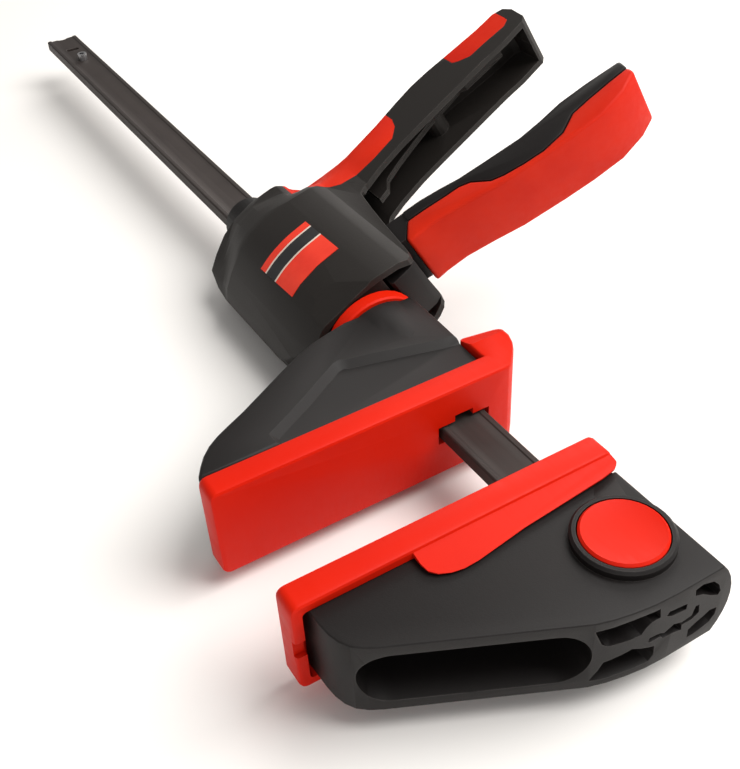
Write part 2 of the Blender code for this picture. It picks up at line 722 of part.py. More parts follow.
pin_half = BAR_THICKNESS / 2 + STOP_PIN_STAND
stop_pin = turned(
    "bar_stop_pin",
    (
        (STOP_PIN_BORE, 2 * pin_half),
        (STOP_PIN_RADIUS, 2 * pin_half),
        (STOP_PIN_RADIUS, 0),
        (STOP_PIN_BORE, 0),
    ),
    Vector((pin_x, 0, -pin_half)),
    "Z",
    SMALL_ROUND_STEPS,
)
finish(stop_pin, PLAIN_STEEL)


# Pads
def pad_slab(name, low, high):
    outline = rounded_rectangle(-PAD_HEEL, PAD_TIP, -PAD_HALF_THICKNESS, PAD_HALF_THICKNESS, PAD_CORNER)
    return soften(plate(name, [outline], low, high, "YZ"), PAD_EDGE)


def pad_tray(name, low, high):
    return plate(
        name,
        [
            rounded_rectangle(
                -PAD_HEEL + PAD_RIM,
                PAD_TIP - PAD_RIM,
                -PAD_HALF_THICKNESS + PAD_RIM,
                PAD_HALF_THICKNESS - PAD_RIM,
                PAD_CORNER / 2,
            )
        ],
        low,
        high,
        "YZ",
    )


def pad_slot(name, low, high):
    """The pad's opening round the bar, with the step at its middle."""
    half_width = BAR_WIDTH / 2 + PAD_SLOT_GAP_Y
    half_height = BAR_THICKNESS / 2 + PAD_SLOT_GAP_Z
    step = PAD_SLOT_STEP_WIDTH / 2
    lift = half_height + PAD_SLOT_STEP_HEIGHT
    outline = [
        (-half_width, -half_height),
        (half_width, -half_height),
        (half_width, half_height),
        (step, half_height),
        (step, lift),
        (-step, lift),
        (-step, half_height),
        (-half_width, half_height),
    ]
    return plate(name, [outline], low, high, "YZ")


fixed_pad = baked(pad_slab("fixed_jaw_pad", -PAD_DEPTH_FIXED, 0))
tray_top = PAD_TIP - PAD_RIM
tray_heel = -PAD_HEEL + PAD_RIM
tongue_base = FIXED_HALF_THICKNESS + RUNNING_GAP
for side, level in (("upper", 1), ("lower", -1)):
    levels = sorted((level * tongue_base, level * (PAD_HALF_THICKNESS - PAD_EDGE / 2)))
    tongue = plate(
        f"{side}_tongue",
        [scaled(TONGUE_SHARES, 0, -TONGUE_REACH, 0, JAW_REACH)],
        *levels,
    )
    soften(tongue, TONGUE_EDGE)
    fall = math.atan2(TONGUE_RIDGE_DROP, TONGUE_REACH - PAD_DEPTH_FIXED)
    slope = block(
        f"{side}_tongue_slope",
        (-2 * TONGUE_REACH, -2 * JAW_REACH, 0),
        (2 * TONGUE_REACH, 2 * JAW_REACH, PAD_HALF_THICKNESS),
    )
    slope.rotation_euler = (0, -fall * level, 0) if level > 0 else (math.pi, fall * level, 0)
    slope.location = (-PAD_DEPTH_FIXED, 0, level * (PAD_HALF_THICKNESS - PAD_EDGE))
    cut(tongue, slope)
    join(fixed_pad, tongue)
fixed_tray = pad_tray("fixed_pad_tray", -PAD_DEPTH_FIXED - OVERRUN, -PAD_FRONT_WALL)
notch = block(
    "fixed_pad_notch",
    (-PAD_DEPTH_FIXED - OVERRUN, tray_top - OVERRUN, -PAD_NOTCH_WIDTH / 2),
    (-PAD_DEPTH_FIXED + PAD_NOTCH_DEPTH, PAD_TIP + OVERRUN, PAD_NOTCH_WIDTH / 2),
)
cut(fixed_pad, fixed_tray, notch, pad_slot("fixed_pad_slot", -PAD_DEPTH_FIXED - OVERRUN, OVERRUN))
finish(fixed_pad, RED_PLASTIC)

moving_back = MOVING_FACE + PAD_DEPTH_MOVING
moving_pad = baked(pad_slab("moving_jaw_pad", MOVING_FACE, moving_back))
lug = plate(
    "pad_lug",
    [scaled(LUG_SHARES, MOVING_FACE, LUG_DEPTH, 0, -LUG_DROP)],
    -PAD_HALF_THICKNESS,
    PAD_HALF_THICKNESS,
)
soften(lug, PAD_EDGE)
ridge = MOVING_FACE + LUG_RIDGE_FROM_FACE
for level in (1, -1):
    fall = block(
        f"lug_fall_{'upper' if level > 0 else 'lower'}",
        (-LUG_DEPTH, -2 * LUG_DROP, 0),
        (2 * LUG_DEPTH, 0, LUG_DEPTH),
    )
    fall.rotation_euler = (0, LUG_SLOPE, 0) if level > 0 else (0, math.pi / 2 - LUG_SLOPE, 0)
    fall.location = (ridge, 0, level * PAD_HALF_THICKNESS)
    cut(lug, fall)
join(moving_pad, lug)
moving_tray = pad_tray("moving_pad_tray", MOVING_FACE + PAD_FRONT_WALL, moving_back + OVERRUN)
cut(moving_pad, moving_tray, pad_slot("moving_pad_slot", MOVING_FACE - OVERRUN, moving_back + OVERRUN))
finish(moving_pad, RED_PLASTIC)

# Fixed jaw body
nose_face = PAD_FRONT_WALL + SEAT_GAP
body_outline = [(-nose_face, tray_heel + RUNNING_GAP), (-nose_face, tray_top - FIXED_NOSE_TIP_GAP)]
body_outline += scaled(FIXED_BODY_SHARES, 0, -FIXED_JAW_LENGTH, 0, JAW_REACH)
body_outline += [(-FIXED_NOSE_BACK, tray_heel + RUNNING_GAP)]
fixed_body = plate("fixed_jaw_body", [body_outline], -FIXED_HALF_THICKNESS, FIXED_HALF_THICKNESS)


def heel_section():
    """The heel's barrel: an arc about the bar between the body's two faces."""
    half = FIXED_HALF_THICKNESS
    limit = math.asin(half / HEEL_BULGE_RADIUS)
    arc = [limit * (1 - 2 * step / HEEL_STEPS) for step in range(HEEL_STEPS + 1)]
    points = [(-HEEL_BULGE_RADIUS * math.cos(angle), HEEL_BULGE_RADIUS * math.sin(angle)) for angle in arc]
    return [(0, half), *points, (0, -half)]


heel = plate("fixed_heel", [heel_section()], -FIXED_JAW_LENGTH, -FIXED_NOSE_BACK, "YZ")
join(fixed_body, heel)
soften(baked(fixed_body), FIXED_EDGE, 3)
collar = turned(
    "button_collar",
    (
        (0, COLLAR_TOP - FIXED_HALF_THICKNESS / 2),
        (COLLAR_RADIUS - COLLAR_EDGE, COLLAR_TOP - FIXED_HALF_THICKNESS / 2),
        (COLLAR_RADIUS, COLLAR_TOP - FIXED_HALF_THICKNESS / 2 - COLLAR_EDGE),
        (COLLAR_RADIUS, 0),
        (0, 0),
    ),
    Vector((-BUTTON_FROM_FACE, 0, FIXED_HALF_THICKNESS / 2)),
)
join(fixed_body, collar)
chamber = rod(
    "button_chamber",
    BUTTON_RADIUS + BUTTON_GAP,
    Vector((-BUTTON_FROM_FACE, 0, CHAMBER_FLOOR)),
    Vector((-BUTTON_FROM_FACE, 0, BUTTON_TOP + OVERRUN)),
    "Z",
    ROUND_STEPS,
)
latch_bore = rod(
    "latch_bore",
    LATCH_BORE_RADIUS,
    Vector((-BUTTON_FROM_FACE, 0, -LATCH_BORE_FOOT)),
    Vector((-BUTTON_FROM_FACE, 0, CHAMBER_FLOOR + OVERRUN)),
    "Z",
)
socket = bar_hole("bar_socket", -BAR_NEAR_END - SEAT_GAP, 0, BAR_SOCKET_GAP, BAR_SOCKET_GAP)
front_top, front_foot = (
    Vector((*point, 0)) for point in scaled((FRONT_TOP_SHARE, FRONT_FOOT_SHARE), 0, -FIXED_JAW_LENGTH, 0, JAW_REACH)
)
front_length = (front_foot - front_top).length
recess_outline = rounded_rectangle(
    -RECESS_LEAD,
    front_length,
    -RECESS_HALF_WIDTH,
    RECESS_HALF_WIDTH,
    RECESS_HALF_WIDTH - WELD,
    RECESS_ROUND_STEPS,
)
recess = plate("front_recess", [recess_outline], -RECESS_DEPTH, RECESS_DEPTH)
along = (front_foot - front_top).normalized()
recess.matrix_world = Matrix.Translation(front_top) @ Matrix(
    (
        (along.x, 0, -along.y, 0),
        (along.y, 0, along.x, 0),
        (0, -1, 0, 0),
        (0, 0, 0, 1),
    )
)
cut(fixed_body, chamber, latch_bore, socket, recess)
for number, shares in enumerate(CAVITY_SHARES, 1):
    cavity = plate(
        f"end_cavity_{number}",
        [scaled(shares, 0, JAW_REACH, 0, FIXED_HALF_THICKNESS)],
        -FIXED_JAW_LENGTH - OVERRUN,
        -FIXED_JAW_LENGTH + CAVITY_DEPTH,
        "YZ",
    )
    cut(fixed_body, cavity)
finish(fixed_body, BLACK_PLASTIC)

# Quick-change button
button_axis = frame_empty("button_axis", (-BUTTON_FROM_FACE, 0, 0), clamp_frame)
button = turned(
    "release_button",
    (
        (0, BUTTON_TOP - BUTTON_DISH),
        (BUTTON_RADIUS * 0.5, BUTTON_TOP - BUTTON_DISH * 0.75),
        (BUTTON_RADIUS * 0.85, BUTTON_TOP - BUTTON_DISH * 0.25),
        (BUTTON_RADIUS - BUTTON_EDGE, BUTTON_TOP),
        (BUTTON_RADIUS, BUTTON_TOP - BUTTON_EDGE),
        (BUTTON_RADIUS, BUTTON_TOP - BUTTON_SKIRT),
        (BUTTON_RADIUS - BUTTON_SKIRT_WALL, BUTTON_TOP - BUTTON_SKIRT),
        (BUTTON_RADIUS - BUTTON_SKIRT_WALL, BUTTON_TOP - BUTTON_DISC),
        (BUTTON_NECK_RADIUS, BUTTON_TOP - BUTTON_DISC),
        (BUTTON_NECK_RADIUS, BUTTON_SHOULDER_TOP),
        (BUTTON_SHOULDER_RADIUS, BUTTON_SHOULDER_TOP),
        (BUTTON_SHOULDER_RADIUS, -BUTTON_SHOULDER_FOOT),
        (0, -BUTTON_SHOULDER_FOOT),
    ),
    Vector((-BUTTON_FROM_FACE, 0, 0)),
)
finish(button, RED_PLASTIC, button_axis)
button_spring = coil(
    "button_spring",
    BUTTON_SPRING_RADIUS,
    BUTTON_SPRING_WIRE,
    BUTTON_TOP - BUTTON_DISC - CHAMBER_FLOOR - 2 * RUNNING_GAP,
    BUTTON_SPRING_TURNS,
    Vector((-BUTTON_FROM_FACE, 0, CHAMBER_FLOOR + RUNNING_GAP)),
    "Z",
)
finish(button_spring, SPRING_STEEL)

# Moving jaw body
body_back = moving_back + SEAT_GAP
moving_body = plate(
    "moving_jaw_body",
    [scaled(MOVING_BODY_SHARES, body_back, MOVING_LENGTH, 0, MOVING_REACH)],
    -MOVING_HALF_THICKNESS,
    MOVING_HALF_THICKNESS,
)
soften(moving_body, MOVING_EDGE, 3)
nose_half = PAD_HALF_THICKNESS - PAD_RIM - NOSE_SIDE_GAP
nose = block(
    "moving_nose",
    (MOVING_FACE + PAD_FRONT_WALL + SEAT_GAP, tray_heel + NOSE_END_GAP, -nose_half),
    (body_back + NOSE_ROOT, tray_top - NOSE_END_GAP, nose_half),
)
swell = turned(
    "collar_swell",
    [(0, MOVING_LENGTH)]
    + [(COLLAR_SWELL_RADIUS * b, MOVING_LENGTH * a) for a, b in reversed(COLLAR_SWELL_SHARES)]
    + [(0, MOVING_LENGTH * COLLAR_SWELL_SHARES[0][0])],
    Vector((body_back, 0, 0)),
    "X",
)
join(moving_body, nose, swell)
for level in (1, -1):
    side = "upper" if level > 0 else "lower"
    panel_outline = scaled(PANEL_SHARES, body_back, MOVING_LENGTH, 0, MOVING_REACH)
    panel = sunk_panel(f"{side}_panel", panel_outline, level * MOVING_HALF_THICKNESS, PANEL_DEPTH, PANEL_BAND)
    groove_levels = sorted((level * (MOVING_HALF_THICKNESS - PANEL_GROOVE_DEPTH), level * (MOVING_HALF_THICKNESS + OVERRUN)))
    groove = plate(
        f"{side}_panel_groove",
        [rectangle(moving_back - OVERRUN, body_back + PANEL_GROOVE_WIDTH, -MOVING_REACH, PANEL_GROOVE_TOP)],
        *groove_levels,
    )
    cut(moving_body, join(panel, groove))
sleeve_start = body_back + MOVING_LENGTH - SLEEVE_SEAT
jaw_bar_hole = bar_hole("jaw_bar_hole", MOVING_FACE, body_back + MOVING_LENGTH + OVERRUN, JAW_BAR_GAP, JAW_BAR_GAP)
sleeve_seat = rod(
    "sleeve_seat",
    SLEEVE_RADIUS + PRESS_GAP,
    Vector((sleeve_start - SEAT_GAP, 0, 0)),
    Vector((body_back + MOVING_LENGTH + OVERRUN, 0, 0)),
    "X",
    ROUND_STEPS,
)
cut(moving_body, jaw_bar_hole, sleeve_seat)
finish(moving_body, BLACK_PLASTIC)

# Swivel sleeve, ring and clip
groove_end = SLEEVE_END - CLIP_THICKNESS / 2
groove_start = groove_end - CLIP_THICKNESS - 2 * RUNNING_GAP
groove_floor = SLEEVE_RADIUS - CLIP_GROOVE_DEPTH
sleeve_profile = [
    (SLEEVE_BORE, SLEEVE_END),
    (SLEEVE_RADIUS, SLEEVE_END),
    (SLEEVE_RADIUS, groove_end),
    (groove_floor, groove_end),
    (groove_floor, groove_start),
    (SLEEVE_RADIUS, groove_start),
    (SLEEVE_RADIUS, sleeve_start),
    (SLEEVE_BORE, sleeve_start),
]
sleeve = turned("swivel_sleeve", sleeve_profile, Vector((0, 0, 0)), "X")
finish(sleeve, PLAIN_STEEL)
clip_profile = [
    (groove_floor + PRESS_GAP, groove_end - RUNNING_GAP),
    (CLIP_RADIUS, groove_end - RUNNING_GAP),
    (CLIP_RADIUS, groove_start + RUNNING_GAP),
    (groove_floor + PRESS_GAP, groove_start + RUNNING_GAP),
]
clip = turned("retaining_clip", clip_profile, Vector((0, 0, 0)), "X")
finish(clip, SPRING_STEEL)
ring_start = body_back + MOVING_LENGTH + SEAT_GAP
ring_profile = [
    (SLEEVE_RADIUS + RUNNING_GAP, ring_start + RING_THICKNESS + RING_SPIGOT),
    (RING_SPIGOT_RADIUS, ring_start + RING_THICKNESS + RING_SPIGOT),
    (RING_SPIGOT_RADIUS, ring_start + RING_THICKNESS),
    (RING_RADIUS - RING_EDGE, ring_start + RING_THICKNESS),
    (RING_RADIUS, ring_start + RING_THICKNESS - RING_EDGE),
    (RING_RADIUS, ring_start + RING_EDGE),
    (RING_RADIUS - RING_EDGE, ring_start),
    (SLEEVE_RADIUS + RUNNING_GAP, ring_start),
]
ring = turned("swivel_ring", ring_profile, Vector((0, 0, 0)), "X")
finish(ring, RED_PLASTIC)

# Handle frame and its pivots
handle_frame = frame_empty("handle_axis", (0, 0, 0), clamp_frame)
handle_frame.rotation_euler = (HANDLE_ROLL, 0, 0)
trigger_axis = frame_empty("trigger_axis", (TRIGGER_PIVOT_X, 0, TRIGGER_PIVOT_H), handle_frame)
release_axis = frame_empty("release_axis", (RELEASE_PIVOT_X, 0, RELEASE_PIVOT_H), handle_frame)

# Housing: one outer form, hollowed, then parted into two shells
housing_outline = scaled(BARREL_SHARES, HOUSING_FRONT, HOUSING_LENGTH, 0, HOUSING_DROP)
housing_outline += scaled(GRIP_SHARES, HOUSING_FRONT, HOUSING_LENGTH, 0, GRIP_TIP)


def housing_section():
    half = scaled(SECTION_GRIP_SHARES, 0, HOUSING_HALF_WIDTH, 0, GRIP_TIP)
    half += scaled(SECTION_BARREL_SHARES, 0, HOUSING_HALF_WIDTH, 0, HOUSING_DROP)
    return half + [(-across, height) for across, height in reversed(half)]


def housing_form(name, shrink, section_shrink=None):
    wide = 2 * HOUSING_HALF_WIDTH
    form = plate(name, [grown(housing_outline, -shrink)], -wide, wide, "XZ")
    section = plate(
        name + "_section",
        [grown(housing_section(), -(section_shrink or shrink))],
        HOUSING_FRONT - wide,
        HOUSING_FRONT + HOUSING_LENGTH + wide,
        "YZ",
    )
    return baked(keep(form, section))


def handle_bore(name, radius, start, end):
    return rod(name, radius, Vector((start, 0, 0)), Vector((end, 0, 0)), "X", ROUND_STEPS)


def cross_rod(name, across, height, radius, low, high):
    return rod(name, radius, Vector((across, low, height)), Vector((across, high, height)), "Y")


housing = housing_form("housing", 0.0)
front_band = scaled(FRONT_BAND_SHARES, HOUSING_FRONT, HOUSING_LENGTH, 0, HOUSING_DROP)
for side in (1, -1):
    band_name = f"front_band_{'left' if side > 0 else 'right'}"
    cut(housing, sunk_panel(band_name, front_band, side * HOUSING_HALF_WIDTH, FRONT_BAND_DEPTH, FRONT_BAND, "XZ"))
baked(soften(housing, HOUSING_EDGE, 2))
strip_form = solid("strip_form", housing.data.copy())
housing_back = HOUSING_FRONT + HOUSING_LENGTH
inner_outline = grown(housing_outline, -HOUSING_WALL)
barrel_count = len(BARREL_SHARES)
front_x = HOUSING_FRONT - OVERRUN
floor_h = -HOUSING_DROP + HOUSING_WALL
grip_back = [point for point in inner_outline[5 : barrel_count + 11]]
grip_top = max(height for _, height in grip_back)
hollow_outline = [(front_x, floor_h), (grip_back[0][0], floor_h)] + grip_back[1:]
hollow_outline += [(grip_back[-1][0] - HOUSING_WALL, grip_top), (front_x, grip_top)]
hollow = plate("housing_hollow", [hollow_outline], -HOUSING_HALF_WIDTH, HOUSING_HALF_WIDTH, "XZ")
hollow_section = plate(
    "hollow_section",
    [grown(housing_section(), -HOUSING_WALL)],
    front_x - OVERRUN,
    housing_back + OVERRUN,
    "YZ",
)
keep(hollow, hollow_section)
wide = HOUSING_HALF_WIDTH + OVERRUN
bulkhead_x = HOUSING_FRONT + BULKHEAD_FROM_FRONT
bulkhead = block(
    "bulkhead",
    (bulkhead_x, -wide, -HOUSING_DROP - OVERRUN),
    (bulkhead_x + BULKHEAD_THICKNESS, wide, BULKHEAD_TOP),
)
seat_x = HOUSING_FRONT + SPRING_SEAT_FROM_FRONT
spring_seat = block(
    "spring_seat",
    (seat_x, -wide, -HOUSING_DROP - OVERRUN),
    (seat_x + SPRING_SEAT_THICKNESS, wide, SPRING_SEAT_TOP),
)
rear_x = housing_back - REAR_WALL
rear_wall = block("rear_wall", (rear_x, -wide, -HOUSING_DROP - OVERRUN), (housing_back, wide, REAR_WALL_TOP))
cut(hollow, bulkhead, spring_seat, rear_wall)
grip_spine = plate(
    "grip_spine",
    [scaled(GRIP_SPINE_SHARES, HOUSING_FRONT, HOUSING_LENGTH, 0, GRIP_TIP)],
    -GRIP_SPINE_HALF_WIDTH,
    GRIP_SPINE_HALF_WIDTH,
    "XZ",
)
grip_shelf = plate(
    "grip_shelf",
    [scaled(GRIP_SHELF_SHARES, HOUSING_FRONT, HOUSING_LENGTH, 0, GRIP_TIP)],
    GRIP_SPINE_HALF_WIDTH - OVERRUN / 2,
    HOUSING_HALF_WIDTH,
    "XZ",
)
cut(hollow, grip_spine, grip_shelf)
screw_places = []
for number, (along_share, up_share, zone) in enumerate(SCREW_SHARES, 1):
    place_x = HOUSING_FRONT + HOUSING_LENGTH * along_share
    place_h = GRIP_TIP * up_share
    sink = SCREW_SINK_BARREL if zone == "barrel" else SCREW_SINK_GRIP
    screw_places.append((number, place_x, place_h, sink))
    cut(hollow, cross_rod(f"screw_boss_{number}", place_x, place_h, SCREW_BOSS_RADIUS, -wide, wide))
cut(housing, baked(hollow))
roof_x = HOUSING_FRONT + ROOF_FROM_FRONT
roof = block(
    "roof_opening",
    (roof_x, -ROOF_HALF_WIDTH, ROOF_FLOOR),
    (roof_x + ROOF_LENGTH, ROOF_HALF_WIDTH, ROOF_FLOOR + HOUSING_DROP),
)
front_slot = block(
    "release_opening",
    (front_x, -ROOF_HALF_WIDTH, BULKHEAD_TOP),
    (roof_x + OVERRUN, ROOF_HALF_WIDTH, ROOF_FLOOR + HOUSING_DROP),
)
sleeve_bore = handle_bore("sleeve_bore", SLEEVE_RADIUS + RUNNING_GAP, front_x, bulkhead_x + BULKHEAD_THICKNESS + OVERRUN)
ring_recess = handle_bore(
    "ring_recess",
    RING_SPIGOT_RADIUS + RUNNING_GAP,
    front_x,
    bulkhead_x,
)
bar_bore = handle_bore("bar_bore", BAR_BORE_RADIUS, seat_x - OVERRUN, housing_back + OVERRUN)
bush_bore = handle_bore("bush_bore", BUSH_RADIUS + RUNNING_GAP, rear_x - RUNNING_GAP, housing_back + OVERRUN)
trigger_pin_hole = cross_rod(
    "trigger_pin_hole",
    TRIGGER_PIVOT_X,
    TRIGGER_PIVOT_H,
    TRIGGER_PIN_RADIUS + PRESS_GAP,
    -TRIGGER_PIN_HALF_LENGTH - SEAT_GAP,
    TRIGGER_PIN_HALF_LENGTH + SEAT_GAP,
)
release_pin_hole = cross_rod(
    "release_pin_hole",
    RELEASE_PIVOT_X,
    RELEASE_PIVOT_H,
    RELEASE_PIN_RADIUS + PRESS_GAP,
    -RELEASE_PIN_HALF_LENGTH - SEAT_GAP,
    RELEASE_PIN_HALF_LENGTH + SEAT_GAP,
)
cut(housing, roof, front_slot, sleeve_bore, ring_recess, bar_bore, bush_bore, trigger_pin_hole, release_pin_hole)
core = housing_form("strip_core", STRIP_DEPTH)
deep_core = housing_form("pocket_core", STRIP_DEPTH + STRIP_GAP)
strips = []
for name, shares in (("grip_strip_lower", LOWER_STRIP_SHARES), ("grip_strip_upper", UPPER_STRIP_SHARES)):
    outline = scaled(shares, HOUSING_FRONT, HOUSING_LENGTH, 0, GRIP_TIP)
    pocket = plate(name + "_pocket", [grown(outline, STRIP_GAP)], -wide, wide, "XZ")
    cut(housing, baked(cut(pocket, deep_core)))
    strip = plate(name, [outline], -wide, wide, "XZ")
    keep(strip, strip_form)
    cut(strip, core)
    strips.append(strip)
for number, place_x, place_h, sink in screw_places:
    shank_hole = cross_rod(
        f"screw_hole_{number}",
        place_x,
        place_h,
        SCREW_SHANK_RADIUS + SCREW_GAP,
        -wide,
        SCREW_LENGTH - sink + SCREW_GAP,
    )
    head_hole = cross_rod(
        f"screw_sink_{number}",
        place_x,
        place_h,
        SCREW_HEAD_RADIUS + SCREW_GAP,
        -wide,
        -sink,
    )
    cut(housing, shank_hole, head_hole)
for name, low, high in (("housing_left", PARTING_GAP, wide), ("housing_right", -wide, -PARTING_GAP)):
    side = block(
        name + "_side",
        (front_x, low, -2 * HOUSING_DROP),
        (housing_back + OVERRUN, high, GRIP_TIP + HOUSING_DROP),
    )
    finish(keep(solid(name, housing.data.copy()), side), CHARCOAL_PLASTIC, handle_frame)
for strip in strips:
    finish(baked(strip), SOFT_RED, handle_frame)
for number, place_x, place_h, sink in screw_places:
    screw = turned(
        f"housing_screw_{number}",
        (
            (0, SCREW_LENGTH),
            (SCREW_SHANK_RADIUS, SCREW_LENGTH),
            (SCREW_SHANK_RADIUS, SCREW_GAP),
            (SCREW_HEAD_RADIUS, SCREW_GAP),
            (SCREW_HEAD_RADIUS, SCREW_GAP - SCREW_HEAD_THICKNESS),
            (0, SCREW_GAP - SCREW_HEAD_THICKNESS),
        ),
        Vector((place_x, -sink - 2 * SCREW_GAP, place_h)),
        "Y",
        SMALL_ROUND_STEPS,
    )
    finish(screw, PLAIN_STEEL, handle_frame)

# Trigger
trigger_point = (TRIGGER_FRONT, TRIGGER_DEPTH, TRIGGER_PIVOT_H, TRIGGER_REACH)
cover_back = scaled(COVER_BACK_SHARES, *trigger_point)
cover_outline = cover_back + scaled(COVER_FRONT_SHARES, *trigger_point)
half = TRIGGER_HALF_WIDTH
cover = soften(plate("trigger_cover", [cover_outline], -half, half, "XZ"), TRIGGER_EDGE, 3)
web_outline = scaled(WEB_SHARES, *trigger_point)
pocket_half = TRIGGER_WEB_HALF_WIDTH + TRIGGER_JOINT_GAP
cut(cover, plate("cover_pocket", [grown(web_outline, TRIGGER_JOINT_GAP)], -pocket_half, pocket_half, "XZ"))
finish(cover, SOFT_RED, trigger_axis)

joint_line = [(across + TRIGGER_JOINT_GAP, height) for across, height in cover_back]
spine_outline = joint_line + scaled(SPINE_BACK_SHARES, *trigger_point)
core_body = soften(plate("trigger_core", [spine_outline], -half, half, "XZ"), TRIGGER_EDGE / 2, 2)
neck = plate("trigger_neck", [scaled(NECK_SHARES, *trigger_point)], -NECK_HALF_WIDTH, NECK_HALF_WIDTH, "XZ")
web = plate("trigger_web", [web_outline], -TRIGGER_WEB_HALF_WIDTH, TRIGGER_WEB_HALF_WIDTH, "XZ")
join(core_body, neck, web)
for side, low, high in (("left", FORK_INNER, FORK_OUTER), ("right", -FORK_OUTER, -FORK_INNER)):
    join(core_body, plate(f"fork_{side}", [scaled(FORK_SHARES, *trigger_point)], low, high, "XZ"))
pin_clear = cross_rod(
    "trigger_pin_clearance",
    TRIGGER_PIVOT_X,
    TRIGGER_PIVOT_H,
    TRIGGER_PIN_RADIUS + PIVOT_GAP,
    -wide,
    wide,
)
cut(core_body, pin_clear)
finish(core_body, BLACK_PLASTIC, trigger_axis)
pivot_pin = cross_rod(
    "trigger_pivot_pin",
    TRIGGER_PIVOT_X,
    TRIGGER_PIVOT_H,
    TRIGGER_PIN_RADIUS,
    -TRIGGER_PIN_HALF_LENGTH,
    TRIGGER_PIN_HALF_LENGTH,
)
finish(pivot_pin, PLAIN_STEEL, handle_frame)
return_spring = coil(
    "trigger_return_spring",
    RETURN_SPRING_RADIUS,
    RETURN_SPRING_WIRE,
    RETURN_SPRING_TURNS * RETURN_SPRING_PITCH,
    RETURN_SPRING_TURNS,
    Vector((TRIGGER_PIVOT_X, RETURN_SPRING_START, TRIGGER_PIVOT_H)),
    "Y",
)
finish(return_spring, SPRING_STEEL, handle_frame)

# Release lever
lever_x = HOUSING_FRONT + RUNNING_GAP
lever_top = RELEASE_PIVOT_H + RELEASE_HEAD
lever_outline = scaled(RELEASE_SHARES, lever_x, RELEASE_DEPTH, lever_top, -RELEASE_HEIGHT)
lever = plate("release_lever", [lever_outline], -RELEASE_HALF_WIDTH, RELEASE_HALF_WIDTH, "XZ")
for side, low, high in (("left", RELEASE_NOSE_HALF_WIDTH, wide), ("right", -wide, -RELEASE_NOSE_HALF_WIDTH)):
    cut(
        lever,
        block(
            f"lever_side_{side}",
            (lever_x + RELEASE_HEAD_DEPTH, low, 0),
            (lever_x + RELEASE_DEPTH + OVERRUN, high, lever_top + OVERRUN),
        ),
    )
soften(lever, RELEASE_EDGE)
cut(
    lever,
    cross_rod(
        "release_pin_clearance",
        RELEASE_PIVOT_X,
        RELEASE_PIVOT_H,
        RELEASE_PIN_RADIUS + PIVOT_GAP,
        -wide,
        wide,
    ),
)
finish(lever, BLACK_PLASTIC, release_axis)
release_pin = cross_rod(
    "release_pin",
    RELEASE_PIVOT_X,
    RELEASE_PIVOT_H,
    RELEASE_PIN_RADIUS,
    -RELEASE_PIN_HALF_LENGTH,
    RELEASE_PIN_HALF_LENGTH,
)
finish(release_pin, PLAIN_STEEL, handle_frame)


# Drive plates, brake plate and their springs
def gripping_plate(name, radius, start, thickness):
    disc = turned(
        name,
        ((0, thickness), (radius, thickness), (radius, 0), (0, 0)),
        Vector((start, 0, 0)),
        "X",
    )
    cut(disc, bar_hole(name + "_hole", start - OVERRUN, start + thickness + OVERRUN, PLATE_HOLE_GAP, PLATE_HOLE_GAP))
    return finish(disc, PLAIN_STEEL)


drive_x = TRIGGER_PIVOT_X + DRIVE_NOSE_FROM_PIVOT + SEAT_GAP
rear_plate_x = drive_x + DRIVE_PLATE_THICKNESS + SEAT_GAP
gripping_plate("drive_plate_front", DRIVE_PLATE_RADIUS, drive_x, DRIVE_PLATE_THICKNESS)
gripping_plate("drive_plate_rear", DRIVE_PLATE_RADIUS, rear_plate_x, DRIVE_PLATE_THICKNESS)
drive_spring_x = rear_plate_x + DRIVE_PLATE_THICKNESS + RUNNING_GAP
drive_spring = coil(
    "drive_spring",
    DRIVE_SPRING_RADIUS,
    DRIVE_SPRING_WIRE,
    seat_x - RUNNING_GAP - drive_spring_x,
    DRIVE_SPRING_TURNS,
    Vector((drive_spring_x, 0, 0)),
)
finish(drive_spring, SPRING_STEEL)
brake_x = lever_x + RELEASE_DEPTH + SEAT_GAP
gripping_plate("brake_plate", BRAKE_PLATE_RADIUS, brake_x, BRAKE_PLATE_THICKNESS)
brake_spring_x = brake_x + BRAKE_PLATE_THICKNESS + RUNNING_GAP
brake_spring = coil(
    "brake_spring",
    BRAKE_SPRING_RADIUS,
    BRAKE_SPRING_WIRE,
    drive_x - RUNNING_GAP - brake_spring_x,
    BRAKE_SPRING_TURNS,
    Vector((brake_spring_x, 0, 0)),
)
finish(brake_spring, SPRING_STEEL)

# Rear guide bush: square on the bar, round in the housing
bush_end = housing_back - BUSH_FROM_BACK
flange_end = rear_x - RUNNING_GAP
bush = turned(
    "rear_guide_bush",
    (
        (0, bush_end),
        (BUSH_RADIUS, bush_end),
        (BUSH_RADIUS, flange_end),
        (BUSH_FLANGE_RADIUS, flange_end),
        (BUSH_FLANGE_RADIUS, flange_end - BUSH_FLANGE),
        (0, flange_end - BUSH_FLANGE),
    ),
    Vector((0, 0, 0)),
    "X",
)
cut(bush, bar_hole("rear_guide_hole", flange_end - BUSH_FLANGE - OVERRUN, bush_end + OVERRUN, BUSH_GAP, BUSH_GAP))
finish(bush, BLACK_PLASTIC)
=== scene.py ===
"""Looks of the one-handed bar clamp: finishes, label plate and studio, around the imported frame."""

import json
import math

import bmesh
import bpy
from mathutils import Matrix, Vector
from mathutils.bvhtree import BVHTree

